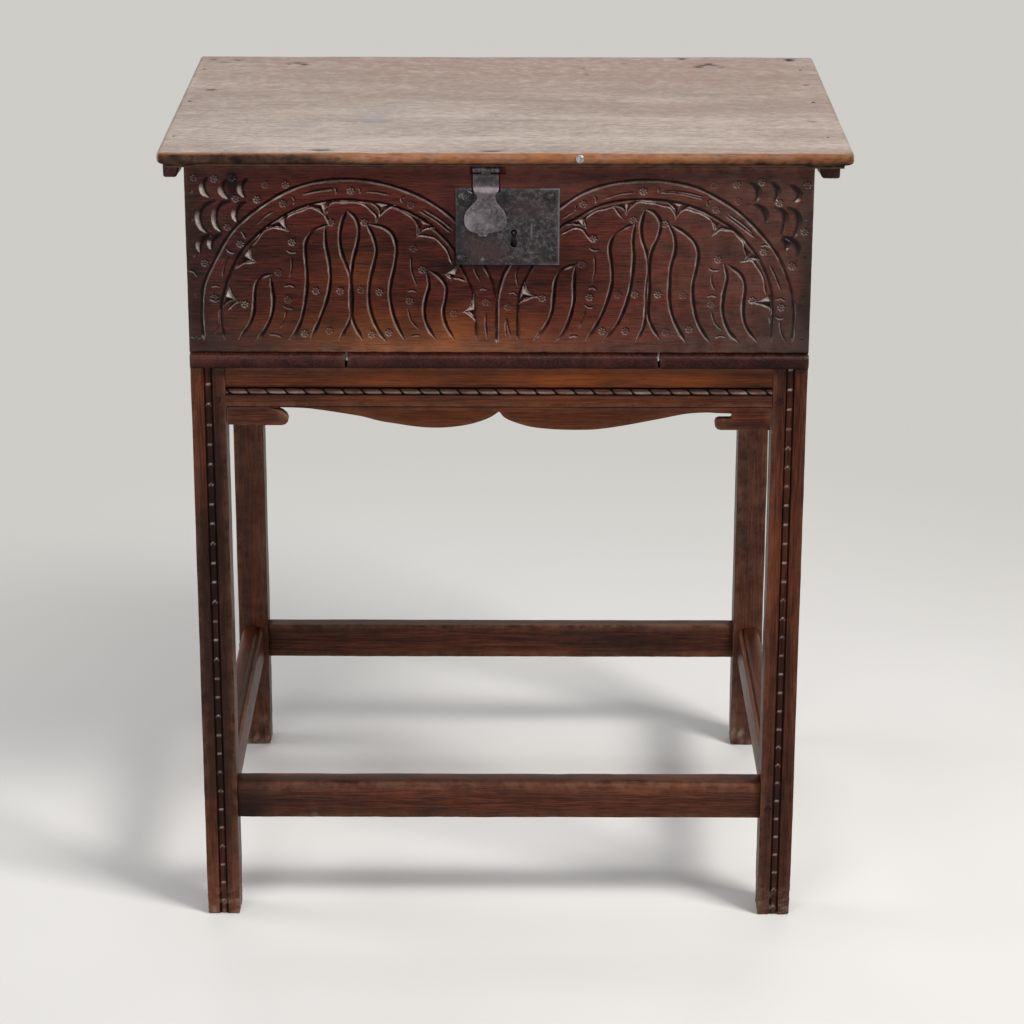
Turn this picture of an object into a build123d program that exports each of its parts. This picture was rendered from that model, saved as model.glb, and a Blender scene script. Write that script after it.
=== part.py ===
from build123d import *
import os

# A joined oak bible box on its stand: a nailed board box with a cleated lid that turns on wooden
# pins, an iron hasp and plate lock, carried by a low joined stand with a shaped apron.
# Sizes are in millimetres. Everything is drawn about the stand: X runs to the right from the
# stand's centre line, Y runs back from the faces of the front legs, and Z runs up from the floor.
# save() then moves each piece so that the origin lies on the floor under the middle of the whole.

os.makedirs("parts", exist_ok=True)

# ---- Stand ----
stand_width = 620.0
stand_depth = 485.0
stand_height = 609.0
leg_side = 35.0
foot_wear = 2.0            # rounding of the feet's lower edges

channel_width = 8.4        # nicked strip worked down the face of each front leg
channel_depth = 2.0
channel_groove = 1.3       # scratched line each side of the strip
strip_drop = 0.7           # strip below the leg's face

rail_height = 42.0
rail_thickness = 24.0
rail_setback = 1.0         # rail's face behind the leg's face
stretcher_height = 41.0
stretcher_thickness = 25.0
stretcher_setback = 4.5
stretcher_base = 111.0     # floor to the underside of the stretchers
stretcher_nose = 9.0       # rounding along the top of the front and rear stretchers
moulding_bead = 5.0        # bead along the inner top edge of a side stretcher
moulding_quirk = 1.4       # sunk line beside that bead
moulding_round = 7.0       # rounding along its outer top edge
moulding_crown = 0.6       # rise of its slightly rounded top

tenon_thickness = 9.0
tenon_inset = 10.0         # leg's face to the tenon's cheek
tenon_length = 14.5
tenon_shoulder = 5.0       # shoulder under and over a stretcher's tenon
rail_haunch = 9.0          # shoulder over a rail's tenon
rail_shoulder = 1.5        # shoulder under a rail's tenon
mortise_spare = 0.5        # empty depth at the bottom of a mortise

peg_sides = 8              # pegs are riven, not turned
peg_radius = 3.75
peg_gap = 0.05
peg_length = 22.0
peg_proud = 0.6
peg_inset = 8.3            # leg's inner edge to the peg's centre
rail_peg_rise = 7.0        # rail's lower edge to the peg
stretcher_peg_rise = 13.0

cable_drop = 22.0          # top of the front rail to the cable moulding's channel
cable_height = 8.0
cable_depth = 3.2
cable_pitch = 19.4
cable_slant_run = 7.0      # how far each twist leans to the right from top to bottom
cable_cut = 0.9            # cut between two twists
cable_twist_height = 7.2
cable_twist_rise = 2.8     # twist above the channel's floor
cable_twist_round = 1.3

# ---- Apron: a board fretted into two lobes, with a bracket left at each leg ----
apron_thickness = 12.0
apron_setback = 1.5
apron_gap = 0.8            # open line between a bracket and its leg
right_bracket_length = 57.5
right_bracket_height = 24.5
right_slit_length = 17.5
right_slit_height = 6.0
right_slit_drop = 7.0
left_bracket_length = 62.0
left_bracket_height = 20.0
left_slit_length = 19.5
left_slit_height = 2.8
left_slit_drop = 1.6
bracket_nose = 4.5         # rounding of a bracket's end
bracket_hollow = 0.45      # how far the nose's upper side dips, as shares of the rounding
bracket_dip = 0.35
# Lower edge of each lobe, from the centre point outwards: share of the clear half span, and drop
# below the rail.
right_lobe = [(0.0, 6.0), (0.047, 13.0), (0.127, 21.0), (0.26, 24.6), (0.40, 22.0), (0.60, 12.5)]
left_lobe = [(0.0, 6.0), (0.058, 13.0), (0.153, 20.0), (0.255, 22.6), (0.38, 19.6), (0.58, 7.8)]
lobe_point_slope = (-0.55, 0.83)

# ---- Box ----
box_depth = 452.0
front_height = 191.0
front_thickness = 17.0
side_thickness = 15.0
back_thickness = 18.0
floor_thickness = 15.0
floor_nose = 7.0           # bottom boards' ends in front of the box
floor_nose_round = 6.0
floor_nose_under = 2.5
floor_gap = 1.6            # open joint between two bottom boards
floor_joint_left = -153.0
floor_joint_right = 160.0

# ---- Lid ----
lid_thickness = 17.0
lid_front_overhang = 18.0
lid_back_overhang = 6.0
lid_left_overhang = 25.0
lid_right_overhang = 37.0
lid_rest_gap = 0.3         # lid above the box's top edge
lid_round = 4.0            # along the top edge
lid_corner = 9.0           # front corners, seen from above
lid_bevel_in = 9.0         # bevel under the front and side edges
lid_bevel_up = 5.5

cleat_left_width = 18.0
cleat_right_width = 22.5
cleat_height = 19.0
cleat_front_height = 14.5
cleat_gap = 3.5            # cleat to the box's side
cleat_taper = 4.5          # inner face slopes away below
cleat_front_inset = 8.0
cleat_front_rise = 52.0    # length over which the front end rises
cleat_back_inset = 4.0
cleat_round = 3.0

hinge_drop = 11.3          # lid's underside to the hinge pins' axis
hinge_inset = 10.0         # box's back to the hinge pins' axis
hinge_pin_radius = 4.0
hinge_pin_grip = 26.0      # length held in the back board
hinge_pin_proud = 0.5
running_gap = 0.06

# ---- Hasp and its hinge ----
hasp_centre = -13.0        # from the box's centre line
strap_width = 26.0
iron_thickness = 2.2
barrel_radius = 3.5
barrel_pin_radius = 1.5
barrel_setback = 0.4       # barrel's axis behind the front board's face
knuckle_length = 9.8
knuckle_gap = 0.3
leaf_length = 85.0
strap_sink = 0.8           # back of the strap behind the front board's face
joggle_top = 17.8          # barrel's axis down to the top of the joggle
joggle_height = 4.5
joggle_lift = 0.8          # bend of the front face above that of the back
neck_width = 18.4
neck_drop = 3.0            # height over which the strap narrows to the neck
pad_gap = 0.4              # pad's back in front of the plate
pad_width = 42.8
pad_drop = 50.0            # barrel's axis down to the pad's middle
pad_height = 29.0
pad_shoulder = (0.76, 0.42)     # points of the pad's side, as shares of half its width and its height
pad_foot = (0.72, 0.33)
pad_end_slope = -0.22
tab_width = 9.6
tab_height = 2.6
staple_width = 5.0
staple_height = 14.0
staple_reach = 11.5
eye_height = 8.0
eye_back = 2.6             # iron behind the eye
eye_front_gap = 0.8        # eye's front before the bolt
staple_nose = 2.0
pin_proud = 0.4            # hinge pin's ends beyond the knuckles

# ---- Lock ----
plate_left = 30.0          # from the hasp's centre line
plate_right = 72.5
plate_height = 77.5
plate_drop = 22.0          # box's top edge to the plate
plate_thickness = 1.8
plate_corner = 1.5
plate_notch_spare = 0.5    # notch in the plate's top edge below the hasp's joggle
staple_slot_width = 7.2
staple_slot_below = 2.2    # free space under the staple
key_centre = 27.5          # from the hasp's centre line
key_drop = 66.8            # box's top edge to the key's centre
key_round = 3.3
key_waist = 2.2            # half-width where the slot leaves the round
key_waist_drop = 2.5
key_foot = 3.4
key_slot_length = 15.0
key_pin_radius = 1.1
bolt_height = 6.8
bolt_thickness = 4.5
bolt_length = 46.0
bolt_gap = 0.2
bolt_stand_off = 2.0       # withdrawn bolt's tip to the staple
bolt_front = 1.2           # plate's back to the bolt
bolt_nose = 0.8
talon_width = 9.0
talon_depth = 2.4
guide_width = 4.0
guide_iron = 1.6
guide_first = 16.0         # from the hasp's centre line
guide_second = 49.0
cap_iron = 1.4
cap_reach = 7.6
cap_half_width = 12.0
cap_height = 27.0
cap_rise = 9.5             # key's centre to the cap's top
spring_iron = 1.0
spring_width = 4.0
spring_foot = 44.0         # from the hasp's centre line
spring_run = 24.0
spring_rise = 5.0
chamber_depth = 9.6
chamber_right = 66.0       # from the hasp's centre line
chamber_left = 12.0
chamber_above = 13.5       # bolt's middle to the top of the chamber
chamber_below = 35.0
way_gap = 1.0              # free space round the moving iron in the wood
barrel_room_left = 1.3     # wood cut back beyond the barrel
barrel_room_right = 5.5
strap_bed_depth = 1.4
leaf_bed_gap = 0.6         # free space under the leaf in the board's top edge
staple_side_gap = 1.8      # free space each side of the staple in the wood

# ---- Nails ----
shank = 2.6
head = 5.0
head_thickness = 1.0
head_slope = 1.4           # width of a head's sloping sides
head_rim = 0.2             # upright rim under them
box_nail_length = 42.0
cleat_nail_length = 30.0
apron_nail_length = 48.0
plate_nail_length = 13.0
leaf_nail_length = 14.0
stud_radius = 4.8
stud_dome = 1.6
stud_from_centre = 78.8
stud_rise = 5.7            # lid's top down to the stud's middle

apron_nail_from_centre = 78.0
apron_nail_drop = 20.0     # rail's lower edge down to the nails' heads
floor_nail_inset = 0.2     # share of a bottom board's width
side_nail_places = (0.3, 0.55, 0.8)                 # shares of the box's depth
face_nail_places = (0.08, 0.31, 0.52, 0.71, 0.86)   # shares of the front's height
back_nail_places = (0.12, 0.42, 0.72)
cleat_nail_places = (0.12, 0.48, 0.84)              # shares of the lid's depth
cleat_nail_across = 0.6                             # share of a cleat's width from its inner face
leaf_nail_places = (0.36, 0.62, 0.9)
plate_nail_inset = 8.0
stud_length = 26.0

# ---- Worked-out places ----
half_width = stand_width / 2
inner_x = half_width - leg_side
rail_base = stand_height - rail_height
floor_top = stand_height + floor_thickness
box_top = floor_top + front_height
lid_base = box_top + lid_rest_gap
lid_top = lid_base + lid_thickness
lid_left = -half_width - lid_left_overhang
lid_right = half_width + lid_right_overhang
lid_back = box_depth + lid_back_overhang
hinge_y = box_depth - hinge_inset
hinge_z = lid_base - hinge_drop
barrel_y = barrel_setback
barrel_z = lid_base - barrel_radius
plate_top = box_top - plate_drop
staple_z = barrel_z - pad_drop
middle_x = (lid_left + lid_right) / 2
front_most = -lid_front_overhang - stud_dome
back_most = max(stand_depth + peg_proud, lid_back)
middle_y = (front_most + back_most) / 2


def save(name, solid):
    """Move a piece into the part's own frame and write it."""
    export_step(Pos(-middle_x, -middle_y, 0) * solid, f"parts/{name}.step")


def block(x, y, z):
    """A squared piece between two values along each axis."""
    centre = Pos((x[0] + x[1]) / 2, (y[0] + y[1]) / 2, (z[0] + z[1]) / 2)
    return centre * Box(abs(x[1] - x[0]), abs(y[1] - y[0]), abs(z[1] - z[0]))


def bar_x(radius, x, y, z):
    """A round bar along X between two values."""
    return Pos((x[0] + x[1]) / 2, y, z) * Rot(0, 90, 0) * Cylinder(radius, abs(x[1] - x[0]))


def bar_y(radius, x, y, z):
    """A round bar along Y between two values."""
    return Pos(x, (y[0] + y[1]) / 2, z) * Rot(90, 0, 0) * Cylinder(radius, abs(y[1] - y[0]))


def opposite_side(solid):
    return mirror(solid, Plane.YZ)


def opposite_end(solid):
    return mirror(solid, Plane.XZ.offset(-stand_depth / 2))


def group(solids):
    return Compound(children=list(solids))


def outline_face(edges):
    return make_face(Wire(edges))


def upright(y):
    """Plane that faces the front at a depth, with its X to the right and its Y up."""
    return Plane(origin=(0, y, 0), x_dir=(1, 0, 0), z_dir=(0, -1, 0))


def sideways(x):
    """Plane that faces the right, with its X to the back and its Y up."""
    return Plane(origin=(x, 0, 0), x_dir=(0, 1, 0), z_dir=(1, 0, 0))


# ---- Nails ----

def nail(length):
    """A wrought nail with its head's underside at the origin, driven towards -Z."""
    rose = block((-head / 2, head / 2), (-head / 2, head / 2), (0, head_thickness))
    crown = rose.faces().sort_by(Axis.Z)[-1]
    rose = chamfer(crown.edges(), head_slope, head_thickness - head_rim, reference=crown)
    return rose + block((-shank / 2, shank / 2), (-shank / 2, shank / 2), (-length, 0))


def driven_up(x, y, z, length):
    return Pos(x, y, z) * Rot(180, 0, 0) * nail(length)


def driven_down(x, y, z, length):
    return Pos(x, y, z) * nail(length)


def driven_back(x, y, z, length):
    return Pos(x, y, z) * Rot(90, 0, 0) * nail(length)


def driven_forward(x, y, z, length):
    return Pos(x, y, z) * Rot(-90, 0, 0) * nail(length)


# ---- Stand ----

rail_z = (rail_base + rail_shoulder, stand_height - rail_haunch)
stretcher_z = (stretcher_base + tenon_shoulder, stretcher_base + stretcher_height - tenon_shoulder)
rail_peg_z = rail_base + rail_peg_rise
stretcher_peg_z = stretcher_base + stretcher_peg_rise
peg_place = leg_side - peg_inset


def tenon_across(z, spare):
    """A tenon along X, in the front left leg."""
    start = -inner_x - tenon_length - spare
    return block((start, -inner_x), (tenon_inset, tenon_inset + tenon_thickness), z)


def tenon_along(z, spare):
    """A tenon along Y, in the front left leg."""
    outer = -half_width + tenon_inset
    return block((outer, outer + tenon_thickness), (leg_side - tenon_length - spare, leg_side), z)


def peg_across(z, radius, proud, spare):
    """A peg driven in from the front left leg's outer side."""
    peg = extrude(RegularPolygon(radius, peg_sides), peg_length + proud + spare)
    return Pos(-half_width - proud, peg_place, z) * Rot(0, 90, 0) * peg


def peg_along(z, radius, proud, spare):
    """A peg driven in from the front left leg's face."""
    peg = extrude(RegularPolygon(radius, peg_sides), peg_length + proud + spare)
    return Pos(-half_width + peg_place, -proud, z) * Rot(-90, 0, 0) * peg


def side_bore(z):
    return peg_across(z, peg_radius + peg_gap, peg_proud + 1, mortise_spare)


def face_bore(z):
    return peg_along(z, peg_radius + peg_gap, peg_proud + 1, mortise_spare)


def plain_leg():
    """The front left leg, mortised and bored, before its face is worked."""
    leg = block((-half_width, -inner_x), (0, leg_side), (0, stand_height))
    leg = chamfer(leg.faces().sort_by(Axis.Z)[0].edges(), foot_wear)
    mortises = [tenon_across(z, mortise_spare) for z in (rail_z, stretcher_z)]
    mortises += [tenon_along(z, mortise_spare) for z in (rail_z, stretcher_z)]
    bores = [bore(z) for bore in (side_bore, face_bore) for z in (rail_peg_z, stretcher_peg_z)]
    for cut in mortises + bores:
        leg -= cut
    return leg


def face_leg():
    """The front left leg with the sunk strip down its face."""
    x = -half_width + leg_side / 2
    half_channel = channel_width / 2
    channel = block((x - half_channel, x + half_channel), (-1, channel_depth), (-1, stand_height + 1))
    half_strip = half_channel - channel_groove
    strip = block((x - half_strip, x + half_strip), (strip_drop, channel_depth + 1), (0, stand_height))
    strip = chamfer(strip.faces().sort_by(Axis.Z)[0].edges().sort_by(Axis.Y)[0], foot_wear - strip_drop)
    return plain_leg() - channel + strip


def cable_twist(pitch):
    """One twist of the cable moulding, leaning down to the right, with its back on the X-Z plane."""
    half_top = (pitch - cable_cut) / 2
    half = cable_twist_height / 2
    lean = cable_slant_run / 2
    outline = Polyline(
        (-half_top - lean, half), (half_top - lean, half), (half_top + lean, -half), (-half_top + lean, -half),
        close=True,
    )
    twist = extrude(upright(0) * make_face(outline), cable_twist_rise)
    return chamfer(twist.faces().sort_by(Axis.Y)[0].edges(), cable_twist_round)


def cross_piece(z, height, thickness, setback, tenon_z, peg_z):
    """A rail or stretcher across the front, tenoned and bored at both ends."""
    body = block((-inner_x, inner_x), (setback, setback + thickness), (z, z + height))
    tenon = tenon_across(tenon_z, 0) - face_bore(peg_z)
    return body, tenon


def front_rail():
    body, tenon = cross_piece(rail_base, rail_height, rail_thickness, rail_setback, rail_z, rail_peg_z)
    top = stand_height - cable_drop
    floor_y = rail_setback + cable_depth
    body -= block((-inner_x - 1, inner_x + 1), (rail_setback - 1, floor_y), (top - cable_height, top))
    room = block((-inner_x, inner_x), (rail_setback - 1, floor_y + 1), (top - cable_height, top))
    count = round(2 * inner_x / cable_pitch)
    pitch = 2 * inner_x / count
    twist = cable_twist(pitch)
    twists = [
        Pos(-inner_x + pitch * (i + 0.5), floor_y, top - cable_height / 2) * twist
        for i in range(count)
    ]
    rail = body + ((Part() + twists) & room) + tenon + opposite_side(tenon)
    for driven in apron_nails():
        rail -= driven
    return rail


def rear_rail():
    body, tenon = cross_piece(rail_base, rail_height, rail_thickness, rail_setback, rail_z, rail_peg_z)
    return opposite_end(body + tenon + opposite_side(tenon))


def front_stretcher():
    body, tenon = cross_piece(stretcher_base, stretcher_height, stretcher_thickness,
                              stretcher_setback, stretcher_z, stretcher_peg_z)
    nose = body.edges().filter_by(Axis.X).group_by(Axis.Z)[-1].sort_by(Axis.Y)[0]
    return fillet(nose, stretcher_nose) + tenon + opposite_side(tenon)


def side_rail():
    """The left rail; its outer face follows the legs' outer faces."""
    x = (-half_width + rail_setback, -half_width + rail_setback + rail_thickness)
    body = block(x, (leg_side, stand_depth - leg_side), (rail_base, stand_height))
    tenon = tenon_along(rail_z, 0) - side_bore(rail_peg_z)
    return body + tenon + opposite_end(tenon)


def side_stretcher():
    """The left stretcher, with a rounded back and a quirked bead along its inner top edge."""
    outer = -half_width + stretcher_setback
    inner = outer + stretcher_thickness
    top = stretcher_base + stretcher_height
    bead = moulding_bead / 2
    quirk_inner = inner - moulding_bead
    quirk_outer = quirk_inner - moulding_quirk
    shelf = top - bead - moulding_quirk
    round_end = outer + moulding_round
    shoulder = top - moulding_crown
    profile = [
        Line((outer, stretcher_base), (inner, stretcher_base)),
        Line((inner, stretcher_base), (inner, shelf)),
        ThreePointArc((inner, shelf), (inner - bead, shelf + bead), (quirk_inner, shelf)),
        Line((quirk_inner, shelf), (quirk_outer, shelf)),
        Line((quirk_outer, shelf), (quirk_outer, shoulder)),
        ThreePointArc((quirk_outer, shoulder), ((quirk_outer + round_end) / 2, top), (round_end, shoulder)),
        RadiusArc((round_end, shoulder), (outer, top - moulding_round), moulding_round),
        Line((outer, top - moulding_round), (outer, stretcher_base)),
    ]
    body = extrude(upright(leg_side) * outline_face(profile), -(stand_depth - 2 * leg_side))
    tenon = tenon_along(stretcher_z, 0) - side_bore(stretcher_peg_z)
    return body + tenon + opposite_end(tenon)


def face_pegs():
    pegs = [peg_along(z, peg_radius, peg_proud, 0) for z in (rail_peg_z, stretcher_peg_z)]
    return pegs + [opposite_side(peg) for peg in pegs]


def left_pegs():
    pegs = [peg_across(z, peg_radius, peg_proud, 0) for z in (rail_peg_z, stretcher_peg_z)]
    return pegs + [opposite_end(peg) for peg in pegs]


def half_outline(bracket_length, bracket_height, slit_length, slit_height, slit_drop, lobe):
    """Lower outline of the apron's right half, from the leg to the centre point, as edges."""
    end = inner_x - apron_gap
    tip = inner_x - bracket_length
    base = rail_base - bracket_height
    slit_top = rail_base - slit_drop
    slit_base = slit_top - slit_height
    slit_end = tip + slit_length
    nose = min(bracket_nose, (slit_base - base) / 2)
    places = [(share * inner_x, rail_base - drop) for share, drop in reversed(lobe)]
    return [
        Line((end, rail_base), (end, base)),
        Line((end, base), (tip + nose, base)),
        RadiusArc((tip + nose, base), (tip, base + nose), nose),
        ThreePointArc((tip, base + nose), (tip + nose * bracket_hollow, slit_base - nose * bracket_dip),
                      (tip + 2 * nose, slit_base)),
        Line((tip + 2 * nose, slit_base), (slit_end, slit_base)),
        ThreePointArc((slit_end, slit_base), (slit_end + slit_height / 2, (slit_base + slit_top) / 2),
                      (slit_end, slit_top)),
        Line((slit_end, slit_top), (tip + nose, slit_top)),
        Spline([(tip + nose, slit_top)] + places, tangents=[(-1, 0), lobe_point_slope]),
        Line(places[-1], (0, rail_base)),
        Line((0, rail_base), (end, rail_base)),
    ]


def apron_nails():
    """Two nails up through the lobes of the apron into the front rail."""
    y = apron_setback + apron_thickness / 2
    z = rail_base - apron_nail_drop
    places = (-apron_nail_from_centre, apron_nail_from_centre)
    return [driven_up(x, y, z, apron_nail_length) for x in places]


def apron():
    right = half_outline(right_bracket_length, right_bracket_height, right_slit_length,
                         right_slit_height, right_slit_drop, right_lobe)
    left = half_outline(left_bracket_length, left_bracket_height, left_slit_length,
                        left_slit_height, left_slit_drop, left_lobe)
    right_half = extrude(upright(apron_setback) * outline_face(right), -apron_thickness)
    left_half = opposite_side(extrude(upright(apron_setback) * outline_face(left), -apron_thickness))
    board = right_half + left_half
    for driven in apron_nails():
        board -= driven
    return board


# ---- Box ----

def floor_spans():
    """Left and right edges of the three bottom boards, which run from front to back."""
    half_gap = floor_gap / 2
    return [
        (-half_width, floor_joint_left - half_gap),
        (floor_joint_left + half_gap, floor_joint_right - half_gap),
        (floor_joint_right + half_gap, half_width),
    ]


def floor_nails():
    """Nails driven up through the bottom boards into the four sides of the box."""
    nails = []
    front_y = front_thickness / 2
    back_y = box_depth - back_thickness / 2
    for left, right in floor_spans():
        inset = (right - left) * floor_nail_inset
        for x in (left + inset, right - inset):
            for y in (front_y, back_y):
                nails.append(driven_up(x, y, stand_height + head_thickness, box_nail_length))
    for x in (-half_width + side_thickness / 2, half_width - side_thickness / 2):
        for share in side_nail_places:
            y = share * box_depth
            nails.append(driven_up(x, y, stand_height + head_thickness, box_nail_length))
    return nails


def floor_board(span):
    board = block(span, (-floor_nose, box_depth), (stand_height, floor_top))
    front = board.edges().filter_by(Axis.X).group_by(Axis.Y)[0].sort_by(Axis.Z)
    board = fillet(front[-1], floor_nose_round)
    front = board.edges().filter_by(Axis.X).group_by(Axis.Y)[0].sort_by(Axis.Z)
    board = fillet(front[0], floor_nose_under)
    for driven in floor_nails():
        board -= driven
    return board


def face_nails():
    """Nails through the front board into the ends of the side boards."""
    x = half_width - side_thickness / 2
    heights = [floor_top + share * front_height for share in face_nail_places]
    y = head_thickness
    return [driven_back(side * x, y, z, box_nail_length) for side in (-1, 1) for z in heights]


def back_nails():
    """Nails through the back board into the ends of the side boards."""
    x = half_width - side_thickness / 2
    heights = [floor_top + share * front_height for share in back_nail_places]
    y = box_depth - head_thickness
    return [driven_forward(side * x, y, z, box_nail_length) for side in (-1, 1) for z in heights]


def left_hinge_pin(radius, grip):
    outer = -half_width - cleat_gap - cleat_left_width - hinge_pin_proud
    return bar_x(radius, (outer, -half_width + grip), hinge_y, hinge_z)


def right_hinge_pin(radius, grip):
    outer = half_width + cleat_gap + cleat_right_width + hinge_pin_proud
    return bar_x(radius, (half_width - grip, outer), hinge_y, hinge_z)


def side_board():
    """The left side board, held between the front and back boards."""
    x = (-half_width, -half_width + side_thickness)
    board = block(x, (front_thickness, box_depth - back_thickness), (floor_top, box_top))
    for driven in face_nails() + back_nails() + floor_nails():
        board -= driven
    return board


def back_board():
    y = (box_depth - back_thickness, box_depth)
    board = block((-half_width, half_width), y, (floor_top, box_top))
    rear = board.edges().filter_by(Axis.X).group_by(Axis.Y)[-1].sort_by(Axis.Z)[-1]
    board = fillet(rear, hinge_inset)
    for driven in back_nails() + floor_nails():
        board -= driven
    board -= left_hinge_pin(hinge_pin_radius, hinge_pin_grip)
    board -= right_hinge_pin(hinge_pin_radius, hinge_pin_grip)
    return board


def front_board():
    """The front board, let in for the hasp's hinge and strap and hollowed behind the lock."""
    board = block((-half_width, half_width), (0, front_thickness), (floor_top, box_top))
    above = box_top + 1
    strap_half = strap_width / 2 + way_gap
    lower = joggle_z(joggle_height) - way_gap
    left = hasp_centre - strap_half
    right = hasp_centre + strap_half
    strap_bed = block((left, right), (-1, strap_bed_depth), (lower, above))
    barrel_bed = block((left - barrel_room_left, right + barrel_room_right),
                       (-1, barrel_y + barrel_radius + way_gap), (barrel_z - barrel_radius - way_gap, above))
    leaf_bed = block((left, right), (0, front_thickness + 1), (lid_base - iron_thickness - leaf_bed_gap, above))
    staple_half = staple_width / 2 + staple_side_gap
    staple_low = staple_z - staple_height / 2 - staple_slot_below
    staple_way = block((hasp_centre - staple_half, hasp_centre + staple_half),
                       (-1, chamber_depth + way_gap), (staple_low, above))
    chamber_end = hasp_centre + chamber_right
    bolt_way = block((hasp_centre - chamber_left, chamber_end), (-1, chamber_depth),
                     (staple_z - bolt_height / 2 - way_gap, staple_z + bolt_height / 2 + way_gap))
    chamber = block((hasp_centre + guide_first - guide_width, chamber_end), (-1, chamber_depth),
                    (staple_z - chamber_below, staple_z + chamber_above))
    for cut in (strap_bed, barrel_bed, leaf_bed, staple_way, bolt_way, chamber):
        board -= cut
    for driven in face_nails() + floor_nails() + plate_nails():
        board -= driven
    return board


# ---- Lock ----

def plate_nails():
    """Four nails through the corners of the lock plate."""
    left = hasp_centre - plate_left + plate_nail_inset
    right = hasp_centre + plate_right - plate_nail_inset
    low = plate_top - plate_height + plate_nail_inset
    high = plate_top - plate_nail_inset
    return [
        driven_back(x, -plate_thickness, z, plate_nail_length)
        for x in (left, right)
        for z in (low, high)
    ]


def keyhole():
    x = hasp_centre + key_centre
    z = box_top - key_drop
    foot = z - key_slot_length
    waist_z = z - key_waist_drop
    edges = [
        ThreePointArc((x - key_waist, waist_z), (x, z + key_round), (x + key_waist, waist_z)),
        Line((x + key_waist, waist_z), (x + key_foot, foot + key_foot)),
        ThreePointArc((x + key_foot, foot + key_foot), (x, foot), (x - key_foot, foot + key_foot)),
        Line((x - key_foot, foot + key_foot), (x - key_waist, waist_z)),
    ]
    return extrude(upright(-plate_thickness - 1) * outline_face(edges), -(plate_thickness + 2))


def lock_plate():
    x = (hasp_centre - plate_left, hasp_centre + plate_right)
    plate = block(x, (-plate_thickness, 0), (plate_top - plate_height, plate_top))
    plate = fillet(plate.edges().filter_by(Axis.Y), plate_corner)
    half = staple_slot_width / 2
    low = staple_z - staple_height / 2 - staple_slot_below
    slot = block((hasp_centre - half, hasp_centre + half), (-plate_thickness - 1, 1), (low, plate_top + 1))
    notch_half = strap_width / 2 + way_gap
    notch = block((hasp_centre - notch_half, hasp_centre + notch_half), (-plate_thickness - 1, 1),
                  (joggle_z(joggle_height) - plate_notch_spare, plate_top + 1))
    plate -= slot + notch
    plate -= keyhole()
    for driven in plate_nails():
        plate -= driven
    return plate


def bolt():
    """The bolt, withdrawn: its tip stands clear of the staple on the right."""
    tip = hasp_centre + staple_width / 2 + bolt_stand_off
    z = (staple_z - bolt_height / 2, staple_z + bolt_height / 2)
    body = block((tip, tip + bolt_length), (bolt_front, bolt_front + bolt_thickness), z)
    body = chamfer(body.faces().sort_by(Axis.X)[0].edges().filter_by(Axis.Z), bolt_nose)
    talon_x = hasp_centre + key_centre
    talon = block((talon_x - talon_width / 2, talon_x + talon_width / 2), (0, chamber_depth),
                  (z[0] - 1, z[0] + talon_depth))
    return body - talon


def guide(offset):
    """A bridge riveted behind the plate, in which the bolt runs."""
    x = hasp_centre + offset
    inner_y = bolt_front + bolt_thickness + bolt_gap
    outer_y = inner_y + guide_iron
    half = bolt_height / 2 + bolt_gap
    across = (x - guide_width / 2, x + guide_width / 2)
    body = block(across, (0, outer_y), (staple_z - half - guide_iron, staple_z + half + guide_iron))
    return body - block(across, (-1, inner_y), (staple_z - half, staple_z + half))


def cap():
    """A small bridge behind the keyhole, which carries the pin that the key turns on."""
    x = hasp_centre + key_centre
    z = box_top - key_drop
    rise = min(cap_rise, staple_z - bolt_height / 2 - bolt_gap - guide_iron - z - bolt_gap)
    across = (x - cap_half_width, x + cap_half_width)
    body = block(across, (0, cap_reach + cap_iron), (z + rise - cap_height, z + rise))
    inside = (across[0] + cap_iron, across[1] - cap_iron)
    body -= block(inside, (-1, cap_reach), (z - cap_height - 1, z + cap_height))
    return body + bar_y(key_pin_radius, x, (-plate_thickness / 2, cap_reach), z)


def spring():
    """A bowed leaf spring, riveted to the plate at its right end and bearing on the bolt."""
    x = hasp_centre + spring_foot
    bearing = staple_z + bolt_height / 2 + bolt_gap / 2
    top = bearing + spring_rise
    y = (bolt_front, bolt_front + spring_width)
    outer = ThreePointArc((x - spring_run, top), (x - spring_run / 2, bearing + spring_iron), (x, top))
    under = top - spring_iron
    inner = ThreePointArc((x, under), (x - spring_run / 2, bearing), (x - spring_run, under))
    edges = [
        outer,
        Line((x, top), (x, under)),
        inner,
        Line((x - spring_run, under), (x - spring_run, top)),
    ]
    bow = extrude(upright(y[0]) * outline_face(edges), -(y[1] - y[0]))
    foot = block((x - spring_iron, x + spring_iron), (0, y[1]), (under - spring_iron, top + spring_iron))
    return bow + foot


# ---- Lid ----

def leaf_nails():
    """Nails up through the hasp's leaf into the lid."""
    places = [leaf_length * share for share in leaf_nail_places]
    return [driven_up(hasp_centre, y, lid_base - iron_thickness, leaf_nail_length) for y in places]


def cleat_nails():
    """Nails down through the lid into the cleats."""
    left = -half_width - cleat_gap - cleat_left_width * cleat_nail_across
    right = half_width + cleat_gap + cleat_right_width * cleat_nail_across
    places = [lid_back * share for share in cleat_nail_places]
    z = lid_top - head_thickness
    return [driven_down(x, y, z, cleat_nail_length) for x in (left, right) for y in places]


def lid_stud():
    """A round-headed nail in the lid's front edge."""
    y = -lid_front_overhang
    z = lid_top - stud_rise
    disc = bar_y(stud_radius, stud_from_centre, (y - stud_dome, y), z)
    disc = chamfer(disc.faces().sort_by(Axis.Y)[0].edges(), stud_dome - head_rim)
    half = shank / 2
    stem = block((stud_from_centre - half, stud_from_centre + half), (y, y + stud_length), (z - half, z + half))
    return disc + stem


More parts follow.
